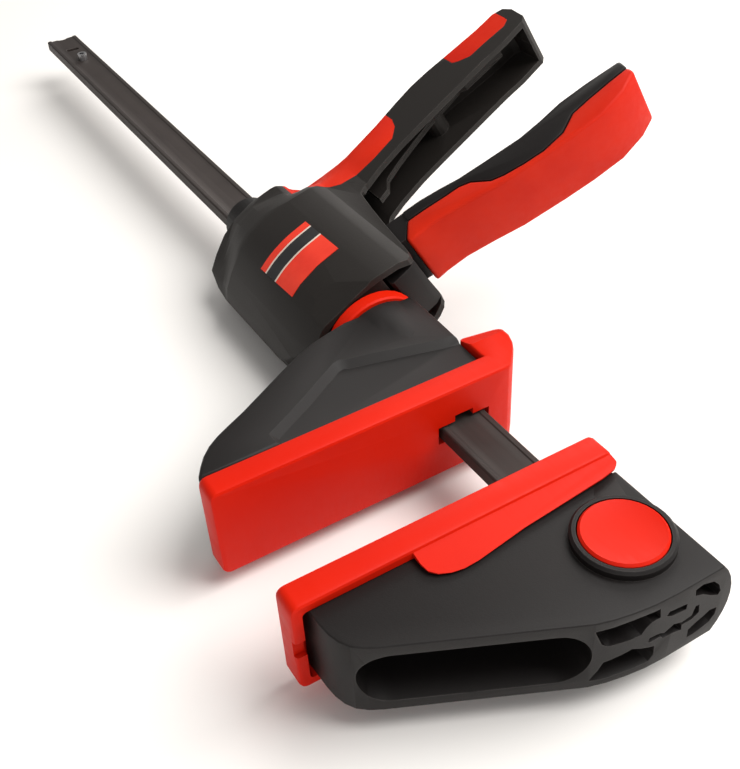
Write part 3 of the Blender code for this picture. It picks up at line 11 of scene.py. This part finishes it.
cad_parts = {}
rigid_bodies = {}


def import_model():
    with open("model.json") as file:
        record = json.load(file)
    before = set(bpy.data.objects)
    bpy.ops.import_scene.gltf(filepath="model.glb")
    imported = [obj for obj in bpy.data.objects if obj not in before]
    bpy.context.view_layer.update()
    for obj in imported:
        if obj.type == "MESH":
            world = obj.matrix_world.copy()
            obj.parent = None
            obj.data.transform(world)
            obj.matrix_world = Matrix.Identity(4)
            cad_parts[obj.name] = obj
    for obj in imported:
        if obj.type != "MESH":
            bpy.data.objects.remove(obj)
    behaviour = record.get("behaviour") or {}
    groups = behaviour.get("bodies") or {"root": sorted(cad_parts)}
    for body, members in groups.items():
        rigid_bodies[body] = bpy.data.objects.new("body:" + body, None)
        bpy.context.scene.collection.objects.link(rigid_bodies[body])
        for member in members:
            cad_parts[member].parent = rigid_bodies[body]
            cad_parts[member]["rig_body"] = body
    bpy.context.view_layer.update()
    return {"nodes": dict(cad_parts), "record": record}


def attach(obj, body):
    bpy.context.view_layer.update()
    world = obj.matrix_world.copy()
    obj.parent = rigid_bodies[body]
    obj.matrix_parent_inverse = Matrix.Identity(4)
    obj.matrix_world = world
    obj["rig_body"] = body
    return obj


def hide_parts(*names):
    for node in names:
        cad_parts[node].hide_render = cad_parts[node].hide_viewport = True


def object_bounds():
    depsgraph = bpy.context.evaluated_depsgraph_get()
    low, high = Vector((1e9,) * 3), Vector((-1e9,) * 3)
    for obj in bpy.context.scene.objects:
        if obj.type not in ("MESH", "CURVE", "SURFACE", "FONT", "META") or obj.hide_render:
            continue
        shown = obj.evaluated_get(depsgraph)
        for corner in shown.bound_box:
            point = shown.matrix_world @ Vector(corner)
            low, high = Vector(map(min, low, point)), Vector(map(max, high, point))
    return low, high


MM = 0.001

# Photograph and camera
IMAGE_WIDTH = 740
FOCAL_PIXELS = 1088.3
SENSOR_WIDTH = 36.0
CLIP_START = 0.01
CAMERA_PLACE = Vector((-177.4, 103.9, 237.1)) * MM
CAMERA_ALONG = Vector((0.67673, -0.37328, -0.63459))
CAMERA_RIGHT = Vector((-0.515, -0.856, -0.052))

# Studio
FLOOR_SIZE = 6.0
FLOOR_COLOUR = (0.86, 0.84, 0.82)
WORLD_STRENGTH = 0.30
WORLD_COLOUR = (1.0, 0.985, 0.965)
BACKGROUND_COLOUR = (0.93, 0.925, 0.915)
LIGHT_TARGET = (0.10, -0.04, 0.0)
# Name, place, width and height, watts, colour
LIGHTS = (
    ("key_light", (-0.25, -0.60, 0.95), (0.9, 0.9), 19.0, (1.0, 0.985, 0.96)),
    ("fill_light", (-0.9, 0.6, 0.55), (1.0, 0.8), 3.0, (1.0, 0.99, 0.98)),
    ("rim_light", (0.9, -0.9, 0.6), (0.8, 0.6), 7.0, (1.0, 0.97, 0.93)),
)

# Colours: dark, pale and, for the moulded blacks, the paler arris tone: wear with a painted edge
# highlight
BLACK = ((0.0060, 0.0046, 0.0044), (0.0085, 0.0067, 0.0064), (0.075, 0.067, 0.064))
CHARCOAL = ((0.0135, 0.0112, 0.0098), (0.0170, 0.0143, 0.0126), (0.09, 0.082, 0.075))
PAD_RED = ((0.60, 0.0085, 0.0002), (0.66, 0.0125, 0.0004))
GRIP_RED = ((0.52, 0.0090, 0.0005), (0.68, 0.024, 0.0030))
BAR_BROWN = ((0.024, 0.0175, 0.0155), (0.046, 0.0360, 0.0325), (0.17, 0.148, 0.135))
PLAIN_STEEL = ((0.42, 0.42, 0.43), (0.55, 0.55, 0.56))
SPRING_STEEL = ((0.26, 0.26, 0.27), (0.36, 0.36, 0.37))
LABEL_RED = ((0.74, 0.030, 0.012), (0.84, 0.045, 0.018))
LABEL_DARK = ((0.012, 0.012, 0.013), (0.024, 0.024, 0.025))
LABEL_PALE = ((0.62, 0.50, 0.42), (0.74, 0.62, 0.54))

# Handle frame: turned about the bar, which lies this far from the origin
BAR_AXIS_Y = -0.0500
HANDLE_ROLL = math.radians(60.0)

# Label plate on the housing's left flank: its corners along the bar and across the handle,
# and the shares of its length at which its stripes end
LABEL_CORNERS = ((0.1455, -0.0112), (0.1462, 0.0134), (0.1223, 0.0140), (0.1215, -0.0104))
LABEL_STRIPES = (
    ("label_red", 0.150), ("label_line", 0.185), ("label_band", 0.455), ("label_line", 0.490),
    ("label_red", 1.0),
)
LABEL_STAND = 0.00028
LABEL_SINK = 0.00030
LABEL_STEPS_ALONG = 8
LABEL_STEPS_ACROSS = 24
LABEL_FROM = 0.0600
LABEL_SMOOTHINGS = 12

# The handle's back, in its own frame: along the bar, out from the parting plane, up the grip.
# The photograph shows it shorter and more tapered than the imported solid.
BACK_HELD = 0.1830
BACK_WALL = 0.1998
BACK_DRAWN = 0.1872
TAPER_FROM = 0.1630
TAPER_BEND = 0.1780
TAPER_EARLY = 0.0040
TAPER_LATE = 0.0032
TAPER_ROUNDING = 0.9
TAPER_LIMIT_SHARE = 0.36
SCREW_COVER = 0.0133
SCREW_HIGH, SCREW_FADED = 0.0175, 0.0240
CORE_SHARE = 0.58
ROUND_HEIGHT = 0.0200
HALF_WIDTHS = (
    (-0.0297, 0.0056), (-0.0260, 0.0104), (-0.0198, 0.0149), (-0.0116, 0.0196), (-0.0050, 0.0214),
    (0.0040, 0.0218), (0.0149, 0.0202), (0.0244, 0.0176), (0.0294, 0.0146),
)
TOP_DROP = 0.0060
TOP_FROM, TOP_FULL = 0.1680, 0.1760
SHOULDER_LOW, SHOULDER_HIGH = 0.0170, 0.0260
ROOT_HEIGHT = 0.0293
ROOT_FADED = 0.0600
CUTS_ALONG = (0.163, 0.168, 0.172, 0.176, 0.178, 0.180, 0.183)
CUTS_UP = (0.017, 0.026, 0.0293, 0.045)

# The guide bush: a disc in the housing's back wall, then a nose that closes on the bar
BUSH_FRONT = 0.1913
BUSH_SPLIT = 0.1926
BUSH_BACK = 0.1988
NOSE_FRONT = 0.1857
NOSE_SPLIT = 0.1874
BUSH_RIM = 0.0115
NOSE_HALF_WIDE = 0.0100
NOSE_HALF_HIGH = 0.0042
NOSE_POWER = 4

WELD = 0.00001
SMOOTH_ANGLE = math.radians(32.0)
FACET_ANGLE = math.radians(17.0)
FLAT_ANGLE = math.radians(0.4)
EASE_SEGMENTS = 2
# How far from an arris the paler wear and painted edge highlight reach
ARRIS_WEAR_AND_HIGHLIGHT_REACH = 0.0005
BAR_ARRIS_WEAR_AND_HIGHLIGHT_REACH = 0.0003

# How far each piece's arrises are eased
EASED_EDGES = {
    "fixed_jaw_body": 0.0006,
    "fixed_jaw_pad": 0.0005,
    "moving_jaw_body": 0.0005,
    "moving_jaw_pad": 0.0005,
    "housing_left": 0.0005,
    "housing_right": 0.0005,
    "trigger_core": 0.0004,
    "trigger_cover": 0.0004,
    "grip_strip_lower": 0.0003,
    "grip_strip_upper": 0.0003,
    "release_lever": 0.0003,
    "bar": 0.0002,
}
SMOOTH_ANGLES = {"housing_left": FACET_ANGLE, "housing_right": FACET_ANGLE}


# Nodes of a material
class Shader:
    """A material's node tree, with short calls for the nodes that the finishes share."""

    def __init__(self, name):
        self.material = bpy.data.materials.new(name)
        self.material.use_nodes = True
        self.tree = self.material.node_tree
        self.surface = self.tree.nodes["Principled BSDF"]
        coordinates = self.tree.nodes.new("ShaderNodeTexCoord")
        self.place = coordinates.outputs["Object"]

    def link(self, source, target):
        self.tree.links.new(source, target)

    def stretched(self, scale):
        mapping = self.tree.nodes.new("ShaderNodeMapping")
        mapping.inputs["Scale"].default_value = scale
        self.link(self.place, mapping.inputs["Vector"])
        return mapping.outputs["Vector"]

    def noise(self, scale, detail=4.0, roughness=0.55, vector=None):
        node = self.tree.nodes.new("ShaderNodeTexNoise")
        node.inputs["Scale"].default_value = scale
        node.inputs["Detail"].default_value = detail
        node.inputs["Roughness"].default_value = roughness
        self.link(vector or self.place, node.inputs["Vector"])
        return node.outputs["Fac"]

    def cells(self, scale, vector=None):
        node = self.tree.nodes.new("ShaderNodeTexVoronoi")
        node.feature = "SMOOTH_F1"
        node.inputs["Scale"].default_value = scale
        self.link(vector or self.place, node.inputs["Vector"])
        return node.outputs["Distance"]

    def spread(self, value, low, high, first=0.0, last=1.0):
        """Maps a value's range onto another, held at both ends."""
        node = self.tree.nodes.new("ShaderNodeMapRange")
        node.inputs["From Min"].default_value = low
        node.inputs["From Max"].default_value = high
        node.inputs["To Min"].default_value = first
        node.inputs["To Max"].default_value = last
        self.link(value, node.inputs["Value"])
        return node.outputs["Result"]

    def sum(self, first, second, operation="ADD"):
        node = self.tree.nodes.new("ShaderNodeMath")
        node.operation = operation
        for socket, value in zip(node.inputs, (first, second)):
            if isinstance(value, (int, float)):
                socket.default_value = value
            else:
                self.link(value, socket)
        return node.outputs["Value"]

    def mixed(self, factor, first, second):
        node = self.tree.nodes.new("ShaderNodeMix")
        node.data_type = "RGBA"
        self.link(factor, node.inputs["Factor"])
        for socket, colour in ((node.inputs[6], first), (node.inputs[7], second)):
            if isinstance(colour, tuple):
                socket.default_value = (*colour, 1.0)
            else:
                self.link(colour, socket)
        return node.outputs[2]

    def edges(self, reach):
        """One near an arris and nothing on a face: how far a rounded normal turns from the true one."""
        geometry = self.tree.nodes.new("ShaderNodeNewGeometry")
        rounded = self.tree.nodes.new("ShaderNodeBevel")
        rounded.samples = 6
        rounded.inputs["Radius"].default_value = reach
        turned = self.tree.nodes.new("ShaderNodeVectorMath")
        turned.operation = "DOT_PRODUCT"
        self.link(geometry.outputs["Normal"], turned.inputs[0])
        self.link(rounded.outputs["Normal"], turned.inputs[1])
        return self.spread(turned.outputs["Value"], 0.995, 0.93)

    def bump(self, height, distance, strength=1.0, normal=None):
        node = self.tree.nodes.new("ShaderNodeBump")
        node.inputs["Distance"].default_value = distance
        node.inputs["Strength"].default_value = strength
        self.link(height, node.inputs["Height"])
        if normal:
            self.link(normal, node.inputs["Normal"])
        return node.outputs["Normal"]

    def finish(self, colour, roughness, normal, metallic=0.0, specular=0.5):
        self.link(colour, self.surface.inputs["Base Color"])
        self.link(roughness, self.surface.inputs["Roughness"])
        self.link(normal, self.surface.inputs["Normal"])
        self.surface.inputs["Metallic"].default_value = metallic
        self.surface.inputs["Specular IOR Level"].default_value = specular
        return self.material


# Finishes
def moulded_black(name, dark, pale, wear_and_highlight_tone):
    """Glass-filled nylon: fine spark grain, faint flow marks, and arrises painted paler in patches, as
    wear and as a painted edge highlight.
    """
    shader = Shader(name)
    flow = shader.noise(26.0, 3.0, 0.5)
    speckle = shader.noise(1900.0, 2.0, 0.5)
    streaks = shader.spread(flow, 0.2, 0.8, 0.0, 0.15)
    tone = shader.sum(streaks, shader.spread(speckle, 0.3, 0.7, 0.1, 0.85))
    body = shader.mixed(tone, dark, pale)
    patches = shader.spread(shader.noise(130.0, 4.0), 0.32, 0.60)
    # Arrises paler in patches: wear, and a painted edge highlight
    wear_and_highlight_mask = shader.sum(shader.edges(ARRIS_WEAR_AND_HIGHLIGHT_REACH), patches, "MULTIPLY")
    colour = shader.mixed(shader.spread(wear_and_highlight_mask, 0.0, 1.0, 0.0, 0.50), body, wear_and_highlight_tone)
    roughness = shader.spread(shader.sum(flow, speckle), 0.6, 1.4, 0.50, 0.58)
    grain = shader.bump(shader.cells(2600.0), 0.00005, 0.30)
    normal = shader.bump(shader.noise(900.0, 3.0), 0.00006, 0.25, grain)
    return shader.finish(colour, roughness, normal, specular=0.27)


def hard_red(name):
    """Smooth red pad polymer with faint moulding clouds and hairline scuffs."""
    shader = Shader(name)
    cloud = shader.noise(16.0, 4.0)
    colour = shader.mixed(shader.spread(cloud, 0.3, 0.7), *PAD_RED)
    scuffs = shader.noise(260.0, 6.0, 0.7, shader.stretched((0.25, 3.0, 1.0)))
    roughness = shader.spread(scuffs, 0.35, 0.68, 0.42, 0.56)
    ripple = shader.bump(shader.noise(140.0, 2.0), 0.00006, 0.35)
    normal = shader.bump(shader.noise(1500.0, 2.0), 0.00003, 0.25, ripple)
    return shader.finish(colour, roughness, normal, specular=0.14)


def soft_red(name):
    """Over-moulded red elastomer: matter than the pads, with a velvety fine grain."""
    shader = Shader(name)
    cloud = shader.noise(20.0, 4.0)
    colour = shader.mixed(shader.spread(cloud, 0.3, 0.7), *GRIP_RED)
    roughness = shader.spread(shader.noise(420.0, 4.0), 0.3, 0.7, 0.50, 0.66)
    grain = shader.bump(shader.cells(3000.0), 0.00005, 0.35)
    normal = shader.bump(shader.noise(180.0, 2.0), 0.00006, 0.3, grain)
    return shader.finish(colour, roughness, normal, specular=0.18)


def browned_steel(name):
    """Rolled bar with a dark brown finish: drawn lines along X, clouds, and arrises painted paler in
    patches, as wear and as a painted edge highlight.
    """
    shader = Shader(name)
    drawn = shader.noise(900.0, 5.0, 0.6, shader.stretched((0.012, 1.0, 1.0)))
    cloud = shader.noise(38.0, 5.0, 0.6)
    tone = shader.sum(shader.spread(cloud, 0.3, 0.7, 0.0, 0.6), shader.spread(drawn, 0.3, 0.7, 0.0, 0.4))
    dark, pale, wear_and_highlight_tone = BAR_BROWN
    body = shader.mixed(tone, dark, pale)
    patches = shader.spread(shader.noise(90.0, 4.0), 0.35, 0.6)
    # Arrises paler in patches: wear, and a painted edge highlight
    wear_and_highlight_mask = shader.sum(shader.edges(BAR_ARRIS_WEAR_AND_HIGHLIGHT_REACH), patches, "MULTIPLY")
    colour = shader.mixed(shader.spread(wear_and_highlight_mask, 0.0, 1.0, 0.0, 0.4), body, wear_and_highlight_tone)
    roughness = shader.spread(shader.sum(drawn, cloud), 0.6, 1.4, 0.50, 0.66)
    normal = shader.bump(drawn, 0.00003, 0.45)
    return shader.finish(colour, roughness, normal, metallic=0.35, specular=0.4)


def bright_steel(name, dark, pale, rough):
    """Plain machined or drawn steel with fine turning marks."""
    shader = Shader(name)
    marks = shader.noise(1400.0, 4.0, 0.6, shader.stretched((1.0, 0.1, 0.1)))
    cloud = shader.noise(60.0, 4.0)
    colour = shader.mixed(shader.spread(cloud, 0.3, 0.7), dark, pale)
    roughness = shader.spread(marks, 0.3, 0.7, rough - 0.08, rough + 0.10)
    normal = shader.bump(marks, 0.00002, 0.35)
    return shader.finish(colour, roughness, normal, metallic=1.0)


def plate_finish(name, dark, pale, rough):
    """Lacquered foil of the bare label plate."""
    shader = Shader(name)
    cloud = shader.noise(90.0, 3.0)
    colour = shader.mixed(shader.spread(cloud, 0.3, 0.7), dark, pale)
    roughness = shader.spread(shader.noise(500.0, 4.0), 0.3, 0.7, rough - 0.06, rough + 0.08)
    normal = shader.bump(shader.noise(1200.0, 2.0), 0.00002, 0.3)
    return shader.finish(colour, roughness, normal, specular=0.5)


# Shapes drawn in at the handle's back
def ramp(value, low, high):
    return min(1.0, max(0.0, (value - low) / (high - low)))


def handle_turn():
    return Matrix.Translation((0, BAR_AXIS_Y, 0)) @ Matrix.Rotation(HANDLE_ROLL, 4, "X")


def half_width(up):
    """The housing's half width at a height of its cross-section."""
    for (low, first), (high, last) in zip(HALF_WIDTHS, HALF_WIDTHS[1:]):
        if up <= high:
            return first + (last - first) * ramp(up, low, high)
    return HALF_WIDTHS[-1][1]


def back_point(place):
    """A point of the handle after its back is shortened, tapered and lowered at the shoulder.

    The side with the screw heads keeps enough width to cover them."""
    along, out, up = place
    if up > ROOT_FADED:
        return place
    if along > BACK_HELD:
        along = BACK_HELD + (along - BACK_HELD) * (BACK_DRAWN - BACK_HELD) / (BACK_WALL - BACK_HELD)
    wide = half_width(up)
    early = TAPER_EARLY * ramp(along, TAPER_FROM, TAPER_BEND)
    taper = early + TAPER_LATE * ramp(along, TAPER_BEND, BACK_DRAWN)
    taper *= 1 + TAPER_ROUNDING * min(1.0, (up / ROUND_HEIGHT) ** 2)
    limit = TAPER_LIMIT_SHARE * wide
    if out < 0:
        limit = min(limit, max(wide - SCREW_COVER, limit * ramp(abs(up), SCREW_HIGH, SCREW_FADED)))
    taper = min(taper, limit) * (1 - ramp(up, ROOT_HEIGHT, ROOT_FADED))
    out = math.copysign(abs(out) - taper * ramp(abs(out) / wide, CORE_SHARE, 1.0), out)
    shoulder = ramp(up, SHOULDER_LOW, SHOULDER_HIGH) * (1 - ramp(up, ROOT_HEIGHT, ROOT_FADED))
    return Vector((along, out, up - TOP_DROP * ramp(along, TOP_FROM, TOP_FULL) * shoulder))


def nose_point(place):
    """A point of the guide bush, about the bar's axis: its rim closes on the bar behind the wall."""
    along, wide, high = place
    if along <= BUSH_SPLIT:
        along = NOSE_FRONT + (NOSE_SPLIT - NOSE_FRONT) * ramp(along, BUSH_FRONT, BUSH_SPLIT)
    else:
        along = NOSE_SPLIT + (BUSH_BACK - NOSE_SPLIT) * ramp(along, BUSH_SPLIT, BUSH_BACK)
    radius = math.hypot(wide, high)
    if radius > BUSH_RIM:
        shares = (abs(wide) / radius / NOSE_HALF_WIDE, abs(high) / radius / NOSE_HALF_HIGH)
        snug = sum(share ** NOSE_POWER for share in shares) ** (-1 / NOSE_POWER)
        scale = 1 + (snug / radius - 1) * ramp(along, NOSE_SPLIT, BUSH_BACK)
        wide, high = wide * scale, high * scale
    return Vector((along, wide, high))


def cut_across(work, places, direction):
    for place in places:
        every = work.verts[:] + work.edges[:] + work.faces[:]
        point = direction * place
        bmesh.ops.bisect_plane(work, geom=every, dist=WELD, plane_co=point, plane_no=direction)


def drawn(work, to_own, move):
    """Moves every point of a mesh, in a frame of its own, and splits the faces that bend."""
    for vert in work.verts:
        vert.co = move(vert.co)
    bmesh.ops.triangulate(work, faces=[face for face in work.faces if len(face.verts) > 3])
    work.transform(to_own.inverted())


def drawn_back(work):
    to_own = handle_turn().inverted()
    work.transform(to_own)
    cut_across(work, CUTS_ALONG, Vector((1, 0, 0)))
    cut_across(work, CUTS_UP, Vector((0, 0, 1)))
    drawn(work, to_own, back_point)


def drawn_bush(work):
    to_own = Matrix.Translation((0, -BAR_AXIS_Y, 0))
    work.transform(to_own)
    cut_across(work, (BUSH_SPLIT,), Vector((1, 0, 0)))
    drawn(work, to_own, nose_point)


REDRAWN = {
    "housing_left": drawn_back,
    "housing_right": drawn_back,
    "grip_strip_lower": drawn_back,
    "rear_guide_bush": drawn_bush,
}


# Pieces made from the frame's nodes
def welded_copy(node, name, smooth_angle, redraw=None):
    """The node's mesh as one joined surface, so that it can be shaded smooth."""
    mesh = node.data.copy()
    work = bmesh.new()
    work.from_mesh(mesh)
    bmesh.ops.remove_doubles(work, verts=work.verts, dist=WELD)
    bmesh.ops.dissolve_limit(work, angle_limit=FLAT_ANGLE, verts=work.verts, edges=work.edges)
    if redraw:
        redraw(work)
    work.to_mesh(mesh)
    work.free()
    piece = bpy.data.objects.new(name, mesh)
    bpy.context.scene.collection.objects.link(piece)
    mesh.normals_split_custom_set([(0.0, 0.0, 0.0)] * len(mesh.loops))
    mesh.shade_smooth()
    mesh.set_sharp_from_angle(angle=smooth_angle)
    return piece


def dressed(frame, node_name, material, edge, smooth_angle):
    """A finer copy of a node: welded, its arrises eased, and finished."""
    node = frame["nodes"][node_name]
    body = node["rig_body"]
    redraw = REDRAWN.get(node_name)
    piece = welded_copy(node, node_name + "_dressed", smooth_angle, redraw)
    if edge:
        ease = piece.modifiers.new("eased_edges", "BEVEL")
        ease.width = edge
        ease.segments = EASE_SEGMENTS
        ease.limit_method = "ANGLE"
        ease.angle_limit = smooth_angle
        ease.harden_normals = False
        ease.use_clamp_overlap = True
    piece.data.materials.clear()
    piece.data.materials.append(material)
    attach(piece, body)
    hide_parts(node_name)


def label_place(along, across):
    """A place on the plate's outline plane, from shares along the bar and across the handle."""
    front_low, front_high, back_high, back_low = (Vector(corner) for corner in LABEL_CORNERS)
    low = front_low.lerp(back_low, along)
    high = front_high.lerp(back_high, along)
    return low.lerp(high, across)


def smoothed(row):
    """A row of points with the surface's facets evened out and its two ends kept."""
    for _ in range(LABEL_SMOOTHINGS):
        inner = [(first + 2 * middle + last) / 4 for first, middle, last in zip(row, row[1:], row[2:])]
        row = [row[0]] + inner + [row[-1]]
    return row


def label_plate(frame, finishes):
    """A bare label plate laid on the housing: red, with one plain dark band between pale lines."""
    node = frame["nodes"]["housing_left"]
    shell = node.data.copy()
    shell.transform(node.matrix_world)
    turn = handle_turn()
    shell.transform(turn.inverted())
    work = bmesh.new()
    work.from_mesh(shell)
    surface = BVHTree.FromBMesh(work)
    work.free()
    bpy.data.meshes.remove(shell)
    before = 0.0
    for number, (finish, after) in enumerate(LABEL_STRIPES, 1):
        points, faces = [], []
        for depth in (LABEL_STAND, -LABEL_SINK):
            for step in range(LABEL_STEPS_ALONG + 1):
                along = before + (after - before) * step / LABEL_STEPS_ALONG
                hits = []
                for across_step in range(LABEL_STEPS_ACROSS + 1):
                    place = label_place(along, across_step / LABEL_STEPS_ACROSS)
                    start = Vector((place.x, LABEL_FROM, place.y))
                    hits.append(surface.ray_cast(start, Vector((0, -1, 0)))[0])
                points += [turn @ (hit + Vector((0, depth, 0))) for hit in smoothed(hits)]
        row = LABEL_STEPS_ACROSS + 1
        layer = row * (LABEL_STEPS_ALONG + 1)
        for step in range(LABEL_STEPS_ALONG):
            for across_step in range(LABEL_STEPS_ACROSS):
                corner = step * row + across_step
                face = (corner, corner + 1, corner + row + 1, corner + row)
                faces.append(face)
                faces.append(tuple(layer + index for index in reversed(face)))
        rim = [step for step in range(row)]
        rim += [step * row + row - 1 for step in range(1, LABEL_STEPS_ALONG + 1)]
        rim += [LABEL_STEPS_ALONG * row + step for step in range(row - 2, -1, -1)]
        rim += [step * row for step in range(LABEL_STEPS_ALONG - 1, 0, -1)]
        for index, first in enumerate(rim):
            second = rim[(index + 1) % len(rim)]
            faces.append((second, first, layer + first, layer + second))
        mesh = bpy.data.meshes.new(f"label_stripe_{number}")
        mesh.from_pydata(points, [], faces)
        work = bmesh.new()
        work.from_mesh(mesh)
        bmesh.ops.recalc_face_normals(work, faces=work.faces)
        work.to_mesh(mesh)
        work.free()
        mesh.shade_smooth()
        mesh.set_sharp_from_angle(angle=SMOOTH_ANGLE)
        piece = bpy.data.objects.new(f"label_stripe_{number}", mesh)
        bpy.context.scene.collection.objects.link(piece)
        mesh.materials.append(finishes[finish])
        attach(piece, "handle")
        before = after


# Studio
def camera():
    data = bpy.data.cameras.new("camera")
    data.sensor_fit = "HORIZONTAL"
    data.sensor_width = SENSOR_WIDTH
    data.lens = FOCAL_PIXELS / IMAGE_WIDTH * SENSOR_WIDTH
    data.clip_start = CLIP_START
    obj = bpy.data.objects.new("camera", data)
    bpy.context.scene.collection.objects.link(obj)
    back = -CAMERA_ALONG.normalized()
    right = (CAMERA_RIGHT - CAMERA_RIGHT.project(back)).normalized()
    up = back.cross(right)
    turn = Matrix((right, up, back)).transposed().to_4x4()
    obj.matrix_world = Matrix.Translation(CAMERA_PLACE) @ turn
    bpy.context.scene.camera = obj


def area_light(name, place, target, size, power, colour):
    data = bpy.data.lights.new(name, "AREA")
    data.shape = "RECTANGLE"
    data.size = size[0]
    data.size_y = size[1]
    data.energy = power
    data.color = colour
    obj = bpy.data.objects.new(name, data)
    bpy.context.scene.collection.objects.link(obj)
    aim = (Vector(target) - Vector(place)).to_track_quat("-Z", "Y")
    obj.matrix_world = Matrix.Translation(place) @ aim.to_matrix().to_4x4()


def floor(level):
    mesh = bpy.data.meshes.new("floor")
    half = FLOOR_SIZE / 2
    corners = [(-half, -half, level), (half, -half, level), (half, half, level), (-half, half, level)]
    mesh.from_pydata(corners, [], [(0, 1, 2, 3)])
    obj = bpy.data.objects.new("floor", mesh)
    bpy.context.scene.collection.objects.link(obj)
    shader = Shader("pale_floor")
    cloud = shader.noise(2.0, 3.0)
    pale = tuple(min(1.0, channel * 1.03) for channel in FLOOR_COLOUR)
    colour = shader.mixed(shader.spread(cloud, 0.3, 0.7), FLOOR_COLOUR, pale)
    roughness = shader.spread(cloud, 0.3, 0.7, 0.75, 0.85)
    normal = shader.bump(shader.noise(300.0, 2.0), 0.00005, 0.1)
    mesh.materials.append(shader.finish(colour, roughness, normal, specular=0.2))


def world():
    scene_world = bpy.data.worlds.new("studio")
    scene_world.use_nodes = True
    background = scene_world.node_tree.nodes["Background"]
    background.inputs["Color"].default_value = (*WORLD_COLOUR, 1.0)
    background.inputs["Strength"].default_value = WORLD_STRENGTH
    tree = scene_world.node_tree
    seen = tree.nodes.new("ShaderNodeBackground")
    seen.inputs["Color"].default_value = (*BACKGROUND_COLOUR, 1.0)
    choice = tree.nodes.new("ShaderNodeMixShader")
    tree.links.new(tree.nodes.new("ShaderNodeLightPath").outputs["Is Camera Ray"], choice.inputs["Fac"])
    tree.links.new(background.outputs["Background"], choice.inputs[1])
    tree.links.new(seen.outputs["Background"], choice.inputs[2])
    tree.links.new(choice.outputs["Shader"], tree.nodes["World Output"].inputs["Surface"])
    bpy.context.scene.world = scene_world


def main():
    bpy.context.scene.view_settings.view_transform = "Standard"
    for leftover in list(bpy.data.objects):
        bpy.data.objects.remove(leftover, do_unlink=True)
    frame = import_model()

    black = moulded_black("black_nylon", *BLACK)
    charcoal = moulded_black("charcoal_nylon", *CHARCOAL)
    pad_red = hard_red("pad_red")
    grip_red = soft_red("grip_red")
    bar_steel = browned_steel("browned_bar_steel")
    steel = bright_steel("plain_steel_finish", *PLAIN_STEEL, 0.34)
    spring = bright_steel("spring_steel_finish", *SPRING_STEEL, 0.30)

    finishes = {
        "black_plastic": black,
        "charcoal_plastic": charcoal,
        "red_plastic": pad_red,
        "soft_red": grip_red,
        "dark_steel": bar_steel,
        "plain_steel": steel,
        "spring_steel": spring,
    }
    for entry in frame["record"]["subparts"]:
        node, slot = entry["node"], entry["material_slot"]
        edge, smooth_angle = EASED_EDGES.get(node, 0.0), SMOOTH_ANGLES.get(node, SMOOTH_ANGLE)
        dressed(frame, node, finishes[slot], edge, smooth_angle)

    label_plate(frame, {
        "label_red": plate_finish("label_red_foil", *LABEL_RED, 0.42),
        "label_band": plate_finish("label_dark_foil", *LABEL_DARK, 0.38),
        "label_line": plate_finish("label_pale_foil", *LABEL_PALE, 0.42),
    })

    low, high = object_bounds()
    floor(low.z)
    world()
    camera()
    for name, place, size, power, colour in LIGHTS:
        area_light(name, place, LIGHT_TARGET, size, power, colour)


main()
